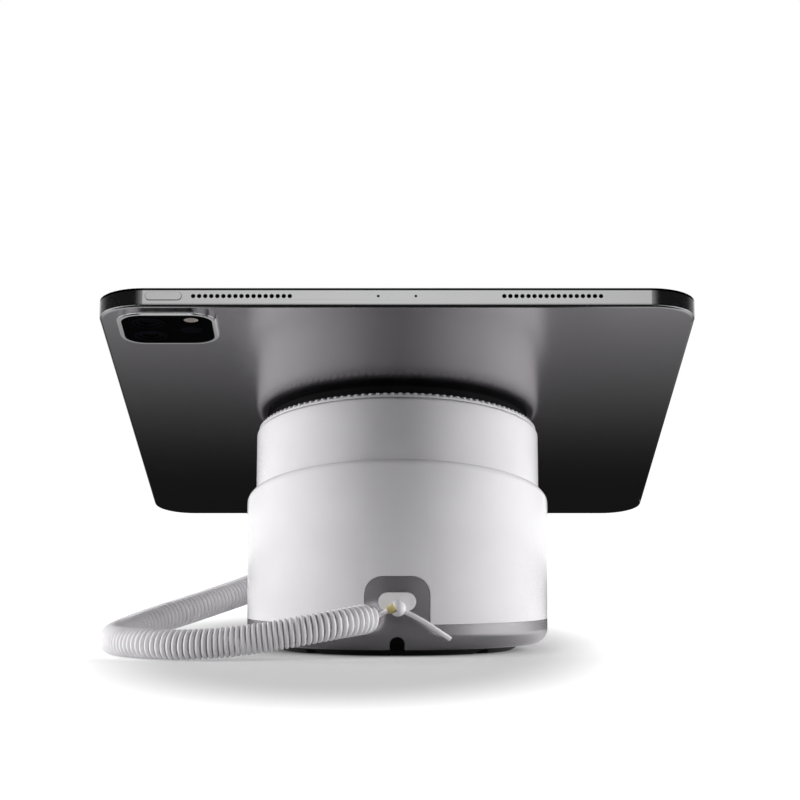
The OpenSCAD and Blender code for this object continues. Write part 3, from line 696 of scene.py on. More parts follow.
@dataclass(frozen=True)
class DarkLens(Finish):
    """Coated camera glass: near black, weak in reflections, with a faint violet bloom."""

    colour: Colour = (0.003, 0.003, 0.004)
    bloom: Colour = (0.006, 0.005, 0.01)
    gloss: float = 0.04
    index: float = 1.1
    roughness: float = 0.06
    cloud_scale: float = 180.0
    smear_scale: float = 70.0
    smear_gloss: float = 0.06

    def wire(self, paint: Graph) -> None:
        """Wires the material.

        Args:
            paint: Its nodes.
        """
        cloud = paint.noise(paint.place(), self.cloud_scale).step(0.35, 0.75)
        smear = paint.noise(paint.place(), self.smear_scale, 4.0).step(0.5, 0.8)
        paint.set(
            Base_Color=paint.blend(cloud, self.colour, self.bloom),
            Roughness=self.roughness + smear * self.smear_gloss,
            Specular_IOR_Level=self.gloss,
            IOR=self.index,
        )


@dataclass(frozen=True)
class CircuitBoard(Finish):
    """Solder mask over tracks, with pads that catch the light."""

    colour: Colour = (0.02, 0.12, 0.06)
    track_tone: float = 1.7
    track_scale: float = 380.0
    track_edge: Pair = (0.04, 0.1)
    track_depth: float = 0.03 * MM
    pad_colour: Colour = (0.6, 0.55, 0.42)
    pad_scale: float = 420.0
    pad_edge: Pair = (0.68, 0.72)
    pad_metal: float = 0.9
    roughness: float = 0.34
    pad_gloss: float = 0.1

    def wire(self, paint: Graph) -> None:
        """Wires the material.

        Args:
            paint: Its nodes.
        """
        at = paint.place()
        track = paint.add(
            "ShaderNodeTexVoronoi",
            {"feature": "DISTANCE_TO_EDGE", "distance": "EUCLIDEAN"},
            {"Vector": at, "Scale": self.track_scale},
        )
        copper = 1.0 - track.step(*self.track_edge)
        pad = paint.noise(at, self.pad_scale, 1.0).step(*self.pad_edge)
        mask = paint.blend(copper, self.colour, tint(self.colour, self.track_tone))
        paint.set(
            Base_Color=paint.blend(pad, mask, self.pad_colour),
            Metallic=pad * self.pad_metal,
            Roughness=self.roughness - pad * self.pad_gloss,
            Normal=paint.bump(copper, self.track_depth),
        )


@dataclass(frozen=True)
class FrostedDiffuser(Finish):
    """Warm white diffuser with a fine fresnel of rings, painted darker in the grooves as painted shade.
    """

    centre: Pair = (-61.95 * MM, -115.2 * MM)
    pitch: float = 0.35 * MM
    depth: float = 0.02 * MM
    # The grooves' darker colour is painted shade; the crests carry the diffuser's own colour.
    groove_shade: Colour = (0.4, 0.34, 0.31)
    crest: Colour = (0.52, 0.46, 0.42)
    roughness: float = 0.3
    ring_gloss: float = 0.08

    def wire(self, paint: Graph) -> None:
        """Wires the material.

        Args:
            paint: Its nodes.
        """
        x, y, _ = paint.axes(paint.tablet_place())
        radius = (x - self.centre[0]).hypot(y - self.centre[1])
        ring = paint.math("SINE", radius * (2.0 * math.pi / self.pitch))
        # Darker where the rings dip, as painted shade in the grooves.
        paint.set(
            Base_Color=paint.blend(ring.step(-1.0, 1.0), self.groove_shade, self.crest),
            Roughness=self.roughness + ring * self.ring_gloss,
            Normal=paint.bump(ring, self.depth),
        )


class Bench:
    """Modelling by operators, one object at a time."""

    @staticmethod
    def clear() -> None:
        """Deselects every object."""
        if bpy.context.object and bpy.context.object.mode != "OBJECT":
            bpy.ops.object.mode_set(mode="OBJECT")
        bpy.ops.object.select_all(action="DESELECT")

    @staticmethod
    def take(obj: bpy.types.Object) -> None:
        """Selects one object alone and makes it active.

        Args:
            obj: The object.
        """
        Bench.clear()
        obj.select_set(True)
        bpy.context.view_layer.objects.active = obj

    @staticmethod
    def rod(name: str, radius: float, low: float, high: float, sides: int = 192) -> bpy.types.Object:
        """Starts from an upright round bar.

        Args:
            name: The object's name.
            radius: Its radius.
            low: Height of its lower end.
            high: Height of its upper end.
            sides: Flats round it.

        Returns:
            The new object.
        """
        Bench.clear()
        bpy.ops.mesh.primitive_cylinder_add(
            vertices=sides, radius=radius, depth=high - low, location=(0.0, 0.0, (low + high) / 2)
        )
        obj = bpy.context.object
        obj.name = name
        Bench.settle(obj)
        return obj

    @staticmethod
    def block(name: str, low: Sequence[float], high: Sequence[float]) -> bpy.types.Object:
        """Starts from a block between two corners.

        Args:
            name: The object's name.
            low: Lowest corner.
            high: Highest corner.

        Returns:
            The new object.
        """
        Bench.clear()
        middle = [(a + b) / 2 for a, b in zip(low, high)]
        bpy.ops.mesh.primitive_cube_add(size=1.0, location=middle)
        obj = bpy.context.object
        obj.name = name
        obj.scale = [b - a for a, b in zip(low, high)]
        Bench.settle(obj)
        return obj

    @staticmethod
    def settle(obj: bpy.types.Object) -> None:
        """Puts an object's place, turn and size into its mesh."""
        Bench.take(obj)
        bpy.ops.object.transform_apply(location=True, rotation=True, scale=True)

    @staticmethod
    def turn(obj: bpy.types.Object, matrix: Matrix) -> bpy.types.Object:
        """Moves an object by a matrix and settles it.

        Args:
            obj: The object.
            matrix: The move.

        Returns:
            The same object.
        """
        obj.matrix_world = matrix @ obj.matrix_world
        bpy.context.view_layer.update()
        Bench.settle(obj)
        return obj

    @staticmethod
    def slice(obj: bpy.types.Object, point: Vector, normal: Vector) -> None:
        """Cuts off what is beyond a plane and closes the cut.

        Args:
            obj: The object.
            point: A point of the plane.
            normal: The plane's normal, towards what goes.
        """
        Bench.take(obj)
        bpy.ops.object.mode_set(mode="EDIT")
        bpy.ops.mesh.select_all(action="SELECT")
        bpy.ops.mesh.bisect(plane_co=point, plane_no=normal, use_fill=True, clear_outer=True)
        bpy.ops.object.mode_set(mode="OBJECT")

    @staticmethod
    def bevel(obj: bpy.types.Object, wanted: EdgeTest, width: float, segments: int) -> None:
        """Rounds the edges that a test picks.

        Args:
            obj: The object.
            wanted: Test on an edge's two end points.
            width: Width of the rounding.
            segments: Steps across it.
        """
        Bench.take(obj)
        bpy.ops.object.mode_set(mode="EDIT")
        bpy.ops.mesh.select_mode(type="EDGE")
        bpy.ops.mesh.select_all(action="DESELECT")
        bpy.ops.object.mode_set(mode="OBJECT")
        points = [v.co for v in obj.data.vertices]
        for edge in obj.data.edges:
            a, b = edge.vertices
            edge.select = wanted(points[a], points[b])
        bpy.ops.object.mode_set(mode="EDIT")
        bpy.ops.mesh.bevel(
            offset=width, segments=segments, profile=0.5, affect="EDGES", clamp_overlap=True
        )
        bpy.ops.object.mode_set(mode="OBJECT")

    @staticmethod
    def carve(obj: bpy.types.Object, tool: bpy.types.Object) -> None:
        """Cuts a tool's shape out of an object and removes the tool.

        Args:
            obj: The object.
            tool: The shape to cut away.
        """
        Bench.take(obj)
        cut = obj.modifiers.new("carve", "BOOLEAN")
        cut.operation = "DIFFERENCE"
        cut.solver = "EXACT"
        cut.object = tool
        bpy.ops.object.modifier_apply(modifier=cut.name)
        bpy.data.objects.remove(tool, do_unlink=True)

    @staticmethod
    def smooth(obj: bpy.types.Object, degrees: float = 32.0) -> None:
        """Shades smooth up to an angle."""
        Bench.take(obj)
        bpy.ops.object.shade_smooth_by_angle(angle=math.radians(degrees))


def in_plane(point: Vector, normal: Vector) -> EdgeTest:
    """Makes a test for edges that lie in a plane.

    Args:
        point: A point of the plane.
        normal: The plane's normal.

    Returns:
        The test on an edge's two end points.
    """
    return lambda a, b: max(abs((a - point).dot(normal)), abs((b - point).dot(normal))) < NEAR


def dress(obj: bpy.types.Object, material: bpy.types.Material) -> None:
    """Gives an object one material on all its faces."""
    obj.data.materials.clear()
    obj.data.materials.append(material)


@dataclass
class Studio:
    """Camera and lamps of the photograph."""

    lens: float = 140.6
    sensor: float = 36.0
    clip: Pair = (0.01, 50.0)
    eye: Place = (0.87 * MM, -1043.6 * MM, 58.8 * MM)
    pitch: float = 1.33
    strip_at: Place = (0.75, -0.025, 0.1)
    strip_aim: Place = (0.0, 0.0, 0.06)
    strip_size: Pair = (0.4, 0.14)
    strip_watts: float = 5.35
    box_at: Place = (0.0, -0.75, 0.65)
    box_aim: Place = (0.0, 0.0, 0.03)
    box_size: Pair = (0.6, 0.4)
    box_watts: float = 1.6

    def camera(self) -> None:
        """Makes the camera at the photograph's place."""
        data = bpy.data.cameras.new("camera")
        data.lens = self.lens
        data.sensor_width = self.sensor
        data.clip_start, data.clip_end = self.clip
        camera = bpy.data.objects.new("camera", data)
        camera.location = self.eye
        camera.rotation_euler = (math.radians(90.0 + self.pitch), 0.0, 0.0)
        bpy.context.scene.collection.objects.link(camera)
        bpy.context.scene.camera = camera

    def lamp(self, name: str, at: Place, aim: Place, size: Pair, watts: float) -> None:
        """Adds a soft box that neither the camera nor a reflection shows.

        Args:
            name: The lamp's name.
            at: Its place.
            aim: The point it faces.
            size: Its width and height.
            watts: Its power.
        """
        data = bpy.data.lights.new(name, "AREA")
        data.shape = "RECTANGLE"
        data.size, data.size_y = size
        data.energy = watts
        lamp = bpy.data.objects.new(name, data)
        lamp.location = at
        lamp.rotation_euler = (Vector(aim) - Vector(at)).to_track_quat("-Z", "Y").to_euler()
        lamp.visible_camera = False
        lamp.visible_glossy = False
        bpy.context.scene.collection.objects.link(lamp)

    def lamps(self) -> None:
        """Sets a soft strip on either side and a soft box above the camera."""
        self.lamp("front_box", self.box_at, self.box_aim, self.box_size, self.box_watts)
        away, near, up = self.strip_at
        for name, side in (("left_strip", -1.0), ("right_strip", 1.0)):
            place = (side * away, near, up)
            self.lamp(name, place, self.strip_aim, self.strip_size, self.strip_watts)


@dataclass
class Surround:
    """World of the photograph: white to the camera, and white and dark cards to reflections.

    The cards' edges are shares of a direction's length across, back and up.
    """

    fill: float = 0.095
    dark: float = 0.012
    roof_rise: Pair = (0.2, 0.45)
    roof_half: float = 0.32
    roof_least: float = 0.01
    backdrop_rise: Pair = (-0.3, 0.2)
    card_edge: Pair = (0.35, 0.6)
    card_top: Pair = (0.08, 0.2)
    card_shade: float = 0.65
    card_top_shade: float = 0.34
    side_edge: Pair = (0.75, 0.9)
    side_top: Pair = (0.11, 0.18)

    def build(self) -> None:
        """Makes the world, which lights the stand with a low, even fill, and keeps its colours plain."""
        world = bpy.data.worlds.new("surround")
        bpy.context.scene.world = world
        world.use_nodes = True
        wiring = Wiring(world.node_tree)
        across, back, up = wiring.axes(wiring.add("ShaderNodeTexCoord", output="Generated"))
        wide = abs(across)
        roof = up.step(*self.roof_rise) * (1.0 - wide / self.roof_half).upper(self.roof_least)
        shade = up.step(*self.card_top) * self.card_top_shade + self.card_shade
        backdrop = back.step(*self.backdrop_rise) * (1.0 - wide.step(*self.card_edge) * shade)
        sides = wide.step(*self.side_edge) * (1.0 - up.step(*self.side_top))
        white = roof.upper(backdrop).upper(sides)
        seen, passed = wiring.rays()
        level = seen.upper(passed * white.upper(self.dark)) + (1.0 - seen.upper(passed)) * self.fill
        sky = wiring.add("ShaderNodeBackground", {}, {"Color": WHITE, "Strength": level})
        wiring.add("ShaderNodeOutputWorld", {}, {"Surface": sky}, output=None)
        bpy.context.scene.view_settings.view_transform = "Standard"


@dataclass
class Floor:
    """Pale floor: its diffuse part keeps the real shadow, its glow to the camera drops in a painted soft
    shadow and a painted contact shadow, it is white far off, and it shows white and dark parts in gloss
    as painted reflections.
    """

    half: float = 6.0
    height: float = -0.1 * MM
    tone: float = 0.8
    lift: float = 0.2
    # An ellipse where the glow to the camera drops: a painted soft shadow round the stand.
    shadow_x: float = -16.0 * MM
    shadow_half: Pair = (109.0 * MM, 350.0 * MM)
    shadow_edge: Pair = (0.5, 1.0)
    # Under the foot the glow to the camera drops to nothing: a painted contact shadow.
    contact_shadow_edge: Pair = (35.0 * MM, 44.0 * MM)
    # White patches that only reflections see, under the stand and to either side: painted reflections for
    # the tablet's back.
    near_rise: Pair = (-45.0 * MM, 10.0 * MM)
    near_fall: Pair = (-50.0 * MM, 170.0 * MM)
    near_white: float = 0.65
    least_white: float = 0.02
    beside_edge: Pair = (50.0 * MM, 80.0 * MM)
    beside_rise: Pair = (-160.0 * MM, -100.0 * MM)
    beside_fall: Pair = (30.0 * MM, 70.0 * MM)
    beside_white: float = 0.7
    far_edge: Pair = (250.0 * MM, 700.0 * MM)
    far_back: Pair = (-200.0 * MM, 100.0 * MM)
    far_side: Pair = (250.0 * MM, 500.0 * MM)

    def build(self) -> None:
        """Makes the floor."""
        Bench.clear()
        bpy.ops.mesh.primitive_plane_add(size=2 * self.half, location=(0.0, 0.0, self.height))
        plane = bpy.context.object
        plane.name = "floor"
        Bench.settle(plane)
        dress(plane, self.material())

    def material(self) -> bpy.types.Material:
        """Builds the floor's material.

        Returns:
            The material.
        """
        paint = Graph("pale_floor")
        x, y, _ = paint.axes(paint.place())
        wide, radius = abs(x), x.hypot(y)
        across = (x - self.shadow_x) / self.shadow_half[0]
        shade = across.hypot(y / self.shadow_half[1]).step(*self.shadow_edge)
        # What reflections see: white far off, a patch under the stand that fades dark towards the back,
        # and patches to either side; painted reflections and painted shade.
        near = (1.0 - y.step(*self.near_fall)) * y.step(*self.near_rise)
        along = (1.0 - y.step(*self.beside_fall)) * y.step(*self.beside_rise)
        beside = wide.step(*self.beside_edge) * along
        far = radius.step(*self.far_edge) * y.step(*self.far_back).upper(wide.step(*self.far_side))
        mirrored = far.upper(near * self.near_white + self.least_white).upper(beside * self.beside_white)
        seen, passed = paint.rays()
        # The glow to the camera, lowered in the painted shadow and gone in the painted contact shadow.
        lift = seen * radius.step(*self.contact_shadow_edge) * (self.lift + shade * (1.0 - self.lift))
        glow = paint.add("ShaderNodeEmission", {}, {"Color": WHITE, "Strength": lift + passed * mirrored})
        # To reflections the floor's own colour is black, so only the painted patches show there.
        cloth = paint.add("ShaderNodeBsdfDiffuse", {}, {"Color": (1.0 - passed) * self.tone})
        both = paint.add("ShaderNodeAddShader", {}, {0: glow, 1: cloth})
        paint.tree.nodes.remove(paint.shader)
        paint.feed(paint.output.inputs[0], both)
        return paint.material


@dataclass
class CurlyLead:
    """The curly lead from the ferrule on the base to the tablet's charging plug.

    Its first push, route and last turn are in millimetres, and the last turn starts from the plug.
    """

    wire: float = 1.5 * MM
    outer: float = 9.6 * MM
    pitch: float = 1.62 * MM
    lead_in: float = 5.3 * MM
    lead_out: float = 25.0 * MM
    spread: float = 4.0 * MM
    end_rate: float = 0.08
    first_turn: float = 0.4
    first_share: float = 0.9
    run_in: float = 1.5
    step: float = 1.4 * MM
    sides: int = 10
    axis_steps: int = 16
    phase_steps: int = 6000
    curl_steps: int = 20000
    look: float = 1.0 * MM
    bend_reach: float = 4.0 * MM
    slope: float = 28.0
    ferrule_end: float = 3.3 * MM
    ferrule_rise: float = 0.9 * MM
    plug_out: float = 4.4 * MM
    plug_under: float = 8.3 * MM
    first_push: Place = (0.0, -0.4, 0.0)
    route: tuple[Place, ...] = (
        (-7.6, -55.2, 12.8), (-10.6, -57.8, 12.5), (-14.2, -60.5, 12), (-18.6, -63, 11.3),
        (-24, -65, 10.4), (-32, -66.5, 9), (-42, -67, 7.3), (-52, -66.8, 6),
        (-62, -65.6, 5.2), (-71, -62.6, 4.9), (-79, -57.4, 4.9), (-85.5, -50, 4.9),
        (-90, -40.5, 4.9), (-92, -30, 5), (-91.5, -19, 5.6), (-88, -9, 7),
        (-81.5, -0.5, 9.3), (-73, 8, 11.8), (-64.5, 17, 14.4), (-56.5, 27, 16.9),
        (-49, 40, 19.4), (-40, 58, 22.6), (-31, 76, 25.6), (-22.5, 94, 28.2),
        (-15, 110, 29.8),
    )
    last_turn: tuple[Place, ...] = ((-6, -6.8, -5.6), (-1.2, -1.9, -4.6))

    def start(self) -> Vector:
        """Finds where the lead leaves its ferrule.

        Returns:
            The point.
        """
        angle = math.radians(self.slope)
        lift = Vector((-math.sin(angle), 0.0, math.cos(angle)))
        return BEAD + self.ferrule_end * slope_way(self.slope, -1.0) + self.ferrule_rise * lift

    def end(self) -> Vector:
        """Gives the point where the lead meets the plug's boot."""
        return on_head(0.0, TABLET_HALF_L - TABLET_SHIFT + self.plug_out, TABLET_Z - self.plug_under)

    def axis(self) -> np.ndarray:
        """Draws the axis that the curls go round.

        Returns:
            Close points on it.
        """
        start, end, way = self.start(), self.end(), slope_way(self.slope, -1.0)
        nodes = [start + self.wire * way, start + 2 * self.wire * way + Vector(self.first_push) * MM]
        nodes += [Vector(p) * MM for p in self.route]
        nodes += [end + Vector(p) * MM for p in self.last_turn]
        nodes += [end - HEAD_AXIS * self.wire]
        return np.array([start, *spline(nodes, self.axis_steps), end], float)

    def wire_line(self) -> np.ndarray:
        """Draws the wire's own centreline, straight at its ends and curled between.

        Returns:
            Points on it at equal steps.
        """
        axis = self.axis()
        along = lengths(axis)
        total = along[-1]
        radius = (self.outer - self.wire) / 2
        first, last = self.lead_in, total - self.lead_out
        fine = np.linspace(first, last, self.phase_steps)
        close = ease((fine - first) / self.spread) * ease((last - fine) / self.spread)
        tight = self.end_rate + (1.0 - self.end_rate) * close
        rate = (1.0 - radius * self.bend(axis, along, fine)) * tight / self.pitch
        phase = np.concatenate([[0.0], np.cumsum((rate[1:] + rate[:-1]) / 2 * np.diff(fine))])
        turns = round(phase[-1])
        s = np.linspace(0.0, total, self.curl_steps)
        curl = np.interp(s, fine, phase * turns / phase[-1])
        at = sample(axis, along, s)
        ahead = sample(axis, along, s + self.look) - sample(axis, along, s - self.look)
        side = unit_rows(np.cross(ahead, [0.0, 0.0, 1.0]))
        up = unit_rows(np.cross(side, ahead))
        angle = 2.0 * math.pi * curl[:, None]
        out = (radius * self.rise(curl) * self.rise(turns - curl))[:, None]
        line = at + out * (np.cos(angle) * side + np.sin(angle) * up)
        run = lengths(line)
        return sample(line, run, np.linspace(0.0, run[-1], round(run[-1] / self.step)))

    def rise(self, curl: np.ndarray) -> np.ndarray:
        """Gives the share of the full radius at so many turns from the curls' end."""
        late = (1.0 - self.first_share) * ease(curl / self.run_in)
        return self.first_share * ease(curl / self.first_turn) + late

    def bend(self, axis: np.ndarray, along: np.ndarray, s: np.ndarray) -> np.ndarray:
        """Measures the axis's curvature, evened out over a few curls.

        Args:
            axis: Points of the axis.
            along: Length at each point.
            s: Lengths to measure at.

        Returns:
            Curvature at each length, in 1/m.
        """
        back = sample(axis, along, s) - sample(axis, along, s - self.bend_reach)
        fore = sample(axis, along, s + self.bend_reach) - sample(axis, along, s)
        cosine = np.clip((unit_rows(back) * unit_rows(fore)).sum(axis=1), -1.0, 1.0)
        return np.arccos(cosine) / self.bend_reach

    def build(self, material: bpy.types.Material) -> bpy.types.Object:
        """Args:
            material: The jacket's material.

        Returns:
            The lead's object.
        """
        line = self.wire_line()
        lead = tube("curly_lead_wire", line, self.wire / 2, self.sides)
        dress(lead, material)
        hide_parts("curly_lead")
        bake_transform(lead)
        return lead


@dataclass
class LeadTail:
    """The lead's short free tail beside the port, with a bare, square-cut end.

    The points of its route are in millimetres.
    """

    wire: float = 1.5 * MM
    sides: int = 16
    steps: int = 10
    slope: float = 25.0
    bead_end: float = 1.9 * MM
    route: tuple[Place, ...] = (
        (5.8, -53, 13.1), (9.3, -53.1, 11.1), (12.9, -52.9, 8.7), (16.9, -51.9, 6),
    )

    def build(self, material: bpy.types.Material) -> bpy.types.Object:
        """Makes the tail.

        Args:
            material: The jacket's material.

        Returns:
            The tail's object.
        """
        way = slope_way(self.slope, 1.0)
        start = BEAD + self.bead_end * way
        nodes = [start + self.wire * way] + [Vector(p) * MM for p in self.route]
        line = np.array([start, *spline(nodes, self.steps)], float)
        tail = tube("lead_tail_wire", line, self.wire / 2, self.sides)
        dress(tail, material)
        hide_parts("lead_tail")
        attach(tail, Body.BASE.value)
        LOG.info("lead tail: %.4f m, too short to declare as a cord", lengths(line)[-1])
        return tail


def ease(t: np.ndarray) -> np.ndarray:
    """Rises smoothly from 0 to 1."""
    u = np.clip(t, 0.0, 1.0)
    return u * u * (3.0 - 2.0 * u)


def lengths(points: np.ndarray) -> np.ndarray:
    """Measures the length along a line of points, at each of them."""
    return np.concatenate([[0.0], np.cumsum(np.linalg.norm(np.diff(points, axis=0), axis=1))])


def unit_rows(rows: np.ndarray) -> np.ndarray:
    """Scales each row to length 1."""
    return rows / np.linalg.norm(rows, axis=1)[:, None]


def sample(line: np.ndarray, along: np.ndarray, s: np.ndarray) -> np.ndarray:
    """Reads points of a line at given lengths along it.

    Args:
        line: The line's points.
        along: Length at each point.
        s: Lengths to read at.

    Returns:
        One row per length.
    """
    return np.stack([np.interp(s, along, line[:, k]) for k in range(3)], axis=1)


def spline(nodes: Sequence[Vector], steps: int) -> list[Vector]:
    """Draws a smooth curve through points.

    Args:
        nodes: The points.
        steps: Steps between two points.

    Returns:
        The curve's points.
    """
    line: list[Vector] = []
    last = len(nodes) - 1
    for i in range(last):
        a, b, c, d = nodes[max(i - 1, 0)], nodes[i], nodes[i + 1], nodes[min(i + 2, last)]
        once, twice, thrice = c - a, 2 * a - 5 * b + 4 * c - d, 3 * b - a - 3 * c + d
        for k in range(steps):
            t = k / steps
            line.append(0.5 * (2 * b + once * t + twice * t * t + thrice * t ** 3))
    line.append(nodes[last].copy())
    return line


def tube(name: str, line: np.ndarray, radius: float, sides: int) -> bpy.types.Object:
    """Sweeps a round section along a line, with flat ends.

    Args:
        name: The object's name.
        line: Centreline points.
        radius: Radius of the section.
        sides: Corners of the section.

    Returns:
        The new object.
    """
    ahead = unit_rows(np.gradient(line, axis=0))
    turn = np.arange(sides) * 2.0 * math.pi / sides
    # Any first normal will do that isn't along the line's start
    normal = np.array([0.0, 0.2, 1.0])
    rows = []
    for point, way in zip(line, ahead):
        normal = normal - normal.dot(way) * way
        normal = normal / np.linalg.norm(normal)
        other = np.cross(way, normal)
        rows.append(point + radius * (np.cos(turn)[:, None] * normal + np.sin(turn)[:, None] * other))
    points = np.concatenate(rows)
    faces = []
    for i in range(len(line) - 1):
        for k in range(sides):
            a, b = i * sides + k, i * sides + (k + 1) % sides
            faces.append((a, b, b + sides, a + sides))
    faces.append(tuple(range(sides))[::-1])
    faces.append(tuple(range((len(line) - 1) * sides, len(line) * sides)))
    mesh = bpy.data.meshes.new(name)
    mesh.from_pydata(points.tolist(), [], faces)
    mesh.update()
    obj = bpy.data.objects.new(name, mesh)
    bpy.context.scene.collection.objects.link(obj)
    Bench.smooth(obj, degrees=40.0)
    return obj


@dataclass
class BaseCover:
    """The white shell of the base, with its slanted, rounded rim."""

    radius: float = 50.0 * MM
    wall: float = 2.4 * MM
    seam: float = 10.4 * MM
    seam_round: float = 0.25 * MM
    seam_steps: int = 2
    rim_round: float = 2.6 * MM
    rim_steps: int = 8
    blank_top: float = 90.0 * MM
    hollow_over: float = 2.0 * MM
    recess: float = 2.5 * MM
    head_hole: float = 47.3 * MM
    well_top: float = 60.0 * MM
    shaft_r: float = 10.05 * MM
    shaft_half: float = 20.0 * MM
    shaft_sides: int = 64
    arch_half: float = 10.55 * MM
    arch_top: float = 25.95 * MM
    arch_over: float = 4.0 * MM
    arch_deep: Pair = (-60.0 * MM, -40.0 * MM)
    arch_round: float = 6.0 * MM
    arch_steps: int = 10

    def build(self, material: bpy.types.Material) -> bpy.types.Object:
        """Makes the shell and puts it in place of the plain one.

        Args:
            material: The shell's material.

        Returns:
            The shell's object.
        """
        cover = Bench.rod("base_cover", self.radius, self.seam, self.blank_top)
        rim = on_head(0.0, 0.0, 0.0)
        Bench.slice(cover, rim, HEAD_AXIS)
        Bench.bevel(cover, in_plane(rim, HEAD_AXIS), self.rim_round, self.rim_steps)
        on_seam = in_plane(Vector((0.0, 0.0, self.seam)), Vector((0.0, 0.0, 1.0)))
        Bench.bevel(cover, on_seam, self.seam_round, self.seam_steps)
        for tool in (self.hollow, self.well, self.shaft, self.arch):
            Bench.carve(cover, tool())
        Bench.smooth(cover)
        dress(cover, material)
        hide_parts("base_shell")
        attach(cover, Body.BASE.value)
        LOG.info("base cover: %d faces", len(cover.data.polygons))
        return cover

    def hollow(self) -> bpy.types.Object:
        """Makes the cutter for the shell's inside, under its slanted roof.

        Returns:
            The cutter.
        """
        low = self.seam - self.hollow_over
        cutter = Bench.rod("hollow", self.radius - self.wall, low, self.blank_top)
        Bench.slice(cutter, on_head(0.0, 0.0, -self.recess - self.wall), HEAD_AXIS)
        return cutter

    def well(self) -> bpy.types.Object:
        """Makes the cutter for the round recess that the head turns in."""
        return Bench.turn(Bench.rod("well", self.head_hole, -self.recess, self.well_top), head_matrix())

    def shaft(self) -> bpy.types.Object:
        """Makes the cutter for the spindle's hole."""
        bar = Bench.rod("shaft", self.shaft_r, -self.shaft_half, self.shaft_half, self.shaft_sides)
        return Bench.turn(bar, head_matrix())

    def arch(self) -> bpy.types.Object:
        """Makes the cutter for the arched panel's place.

        Returns:
            The cutter.
        """
        front, back = self.arch_deep
        low = (-self.arch_half, front, self.seam - self.arch_over)
        cutter = Bench.block("arch", low, (self.arch_half, back, self.arch_top))

        def on_shoulder(a: Vector, b: Vector) -> bool:
            """Picks the two upper edges that run from front to back."""
            return min(a.z, b.z) > self.arch_top - NEAR and abs(a.x - b.x) < NEAR

        Bench.bevel(cutter, on_shoulder, self.arch_round, self.arch_steps)
        return cutter


@dataclass
class PortInsert:
    """The white insert in the port's window, with a domed face."""

    half_l: float = 5.95 * MM
    half_h: float = 2.95 * MM
    middle: float = 17.8 * MM
    face: float = -50.6 * MM
    back: float = -44.2 * MM
    end_share: float = 0.998
    end_steps: int = 14
    dome: float = 1.3 * MM
    dome_steps: int = 8

    def build(self, material: bpy.types.Material) -> bpy.types.Object:
        """Makes the insert and puts it in place of the flat one.

        Args:
            material: The insert's material.

        Returns:
            The insert's object.
        """
        low = (-self.half_l, self.face, self.middle - self.half_h)
        insert = Bench.block("port_dome", low, (self.half_l, self.back, self.middle + self.half_h))
        end_round = self.end_share * self.half_h
        Bench.bevel(insert, lambda a, b: abs(a.y - b.y) > NEAR, end_round, self.end_steps)
        in_face = in_plane(Vector((0.0, self.face, 0.0)), Vector((0.0, 1.0, 0.0)))
        Bench.bevel(insert, in_face, self.dome, self.dome_steps)
        Bench.smooth(insert)
        dress(insert, material)
        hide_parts("port_insert")
        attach(insert, Body.BASE.value)
        LOG.info("port insert: %d faces", len(insert.data.polygons))
        return insert


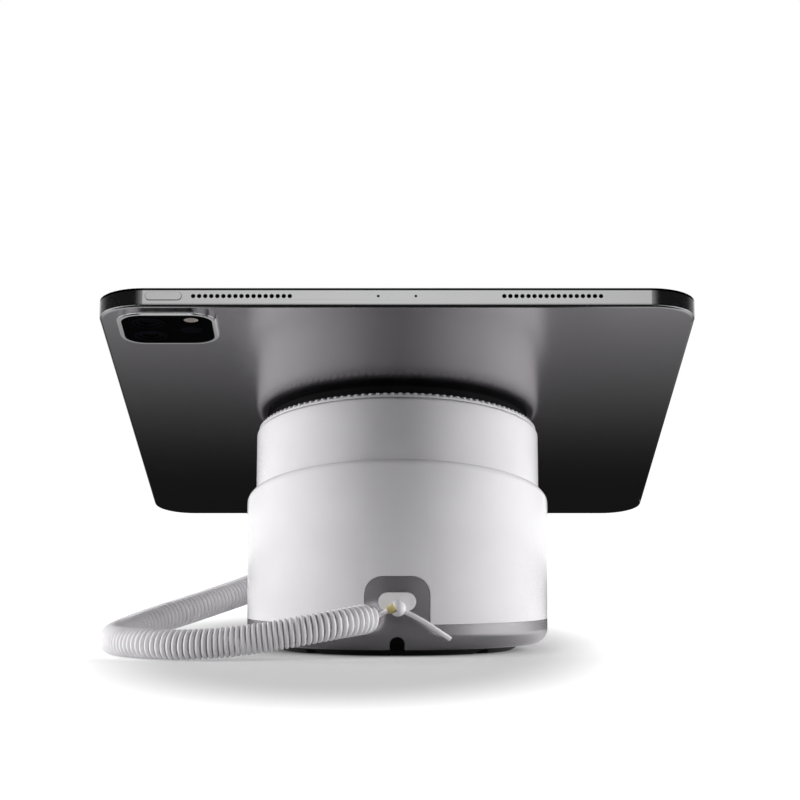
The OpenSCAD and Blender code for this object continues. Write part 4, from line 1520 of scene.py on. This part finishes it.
@dataclass
class Dresser:
    """Finishes of the new pieces, and of the solids that show as they are."""

    nodes: dict[str, bpy.types.Object] = field(default_factory=lambda: frame["nodes"])

    def plastics(self) -> dict[str, Finish]:
        """Lists the plastics.

        Returns:
            Finishes by the record's slot names.
        """
        return {
            "white_plastic": MouldedPlastic(
                "white_gloss", (0.828, 0.814, 0.834), roughness=0.26, grain_size=0.5 * MM,
                grain_depth=0.002 * MM, coat=0.5, drift=0.012, gloss=0.15,
            ),
            "grey_plastic": MouldedPlastic(
                "grey_trim", (0.6, 0.578, 0.606), roughness=0.2, grain_size=0.35 * MM,
                grain_depth=0.003 * MM, metal=0.75,
            ),
            "dark_plastic": MouldedPlastic(
                "dark_ring", (0.05, 0.05, 0.053), roughness=0.42, grain_size=0.35 * MM,
                grain_depth=0.01 * MM, drift=0.08,
            ),
            "black_plastic": MouldedPlastic(
                "black_plastic", (0.012, 0.012, 0.013), roughness=0.5, grain_size=0.3 * MM,
                grain_depth=0.01 * MM, drift=0.1,
            ),
            "acetal": MouldedPlastic(
                "acetal", (0.72, 0.7, 0.64), roughness=0.4, grain_depth=0.006 * MM, drift=0.04
            ),
            "cell_wrap": MouldedPlastic(
                "cell_wrap", (0.045, 0.055, 0.075), roughness=0.38, grain_size=0.6 * MM,
                grain_depth=0.01 * MM, drift=0.1,
            ),
            "display": MouldedPlastic(
                "display_back", (0.02, 0.02, 0.024), roughness=0.35, grain_size=0.5 * MM,
                grain_depth=0.006 * MM, drift=0.1,
            ),
            "rubber": BlackFoam("foot_rubber", (0.016, 0.016, 0.017), pore=0.35 * MM, depth=0.02 * MM),
            "foam": BlackFoam("adhesive_foam", (0.008, 0.008, 0.009), pore=0.6 * MM, depth=0.06 * MM),
            "lead_white": CableJacket("lead_jacket", (0.935, 0.918, 0.945)),
        }

    def metals(self) -> dict[str, Finish]:
        """Lists the metals; the brass is soft and half matt, as on the ferrule.

        Returns:
            Finishes by the record's slot names.
        """
        return {
            "steel": PlatedMetal("zinc_steel", (0.56, 0.57, 0.58), roughness=0.32),
            "bronze": PlatedMetal("bearing_bronze", (0.5, 0.34, 0.16), roughness=0.34),
            "brass": MouldedPlastic(
                "soft_brass", (0.85, 0.72, 0.32), roughness=0.32, grain_size=0.2 * MM,
                drift=0.08, metal=0.35,
            ),
            "nickel": PlatedMetal("nickel", (0.66, 0.65, 0.62), roughness=0.2),
            "tablet_metal": TabletShell("tablet_shell"),
            "camera_metal": AnodisedMetal(
                "camera_rim", (0.74, 0.742, 0.75), roughness=0.12, bead_size=0.2 * MM,
                bead_depth=0.001 * MM,
            ),
        }

    def glasses(self) -> dict[str, Finish]:
        """Lists the tablet's glasses and the boards.

        Returns:
            Finishes by the record's slot names.
        """
        return {
            "cover_glass": CoverGlass("cover_glass"),
            "lens": DarkLens("lens", gloss=0.015),
            "flash": FrostedDiffuser("flash"),
            "circuit_board": CircuitBoard("circuit_board"),
        }

    def all(self) -> dict[str, bpy.types.Material]:
        """Makes every finish of the record.

        Returns:
            Materials by the record's slot names.
        """
        finishes = {**self.plastics(), **self.metals(), **self.glasses()}
        return {slot: finish.material() for slot, finish in finishes.items()}

    def port_white(self) -> bpy.types.Material:
        """Makes the brighter white of the port's insert.

        Returns:
            The material.
        """
        return MouldedPlastic(
            "port_white", (0.955, 0.944, 0.958), roughness=0.3, grain_depth=0.002 * MM, coat=0.4,
            drift=0.01, gloss=0.3,
        ).material()

    def apply(self, made: dict[str, bpy.types.Material]) -> None:
        """Dresses each solid by its slot in the record, and two that have a finish of their own.

        Args:
            made: Materials by slot.
        """
        for part in frame["record"]["subparts"]:
            dress(self.nodes[part["node"]], made[part["material_slot"]])
        glass = DarkLens(
            "camera_black_glass", (0.002, 0.002, 0.0025), bloom=(0.003, 0.003, 0.004), gloss=0.005
        )
        dress(self.nodes["camera_glass"], glass.material())
        # The base plate is dressed near black in place of its steel: painted shade, standing for the dark
        # band under the base's rim.
        coat = MouldedPlastic(
            "plate_painted_shade", (0.014, 0.014, 0.015), roughness=0.5, grain_size=0.3 * MM,
            grain_depth=0.01 * MM, drift=0.1,
        )
        dress(self.nodes["base_plate"], coat.material())


def main() -> None:
    """Builds the scene in order."""
    logging.basicConfig(level=logging.INFO, format="%(name)s: %(message)s")
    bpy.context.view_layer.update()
    studio = Studio()
    studio.camera()
    dresser = Dresser()
    made = dresser.all()
    CurlyLead().build(made["lead_white"])
    LeadTail().build(made["lead_white"])
    BaseCover().build(made["white_plastic"])
    PortInsert().build(dresser.port_white())
    dresser.apply(made)
    LOG.info("finishes: %d slots on %d solids", len(made), len(dresser.nodes))
    studio.lamps()
    Surround().build()
    Floor().build()


if __name__ == "__main__":
    main()
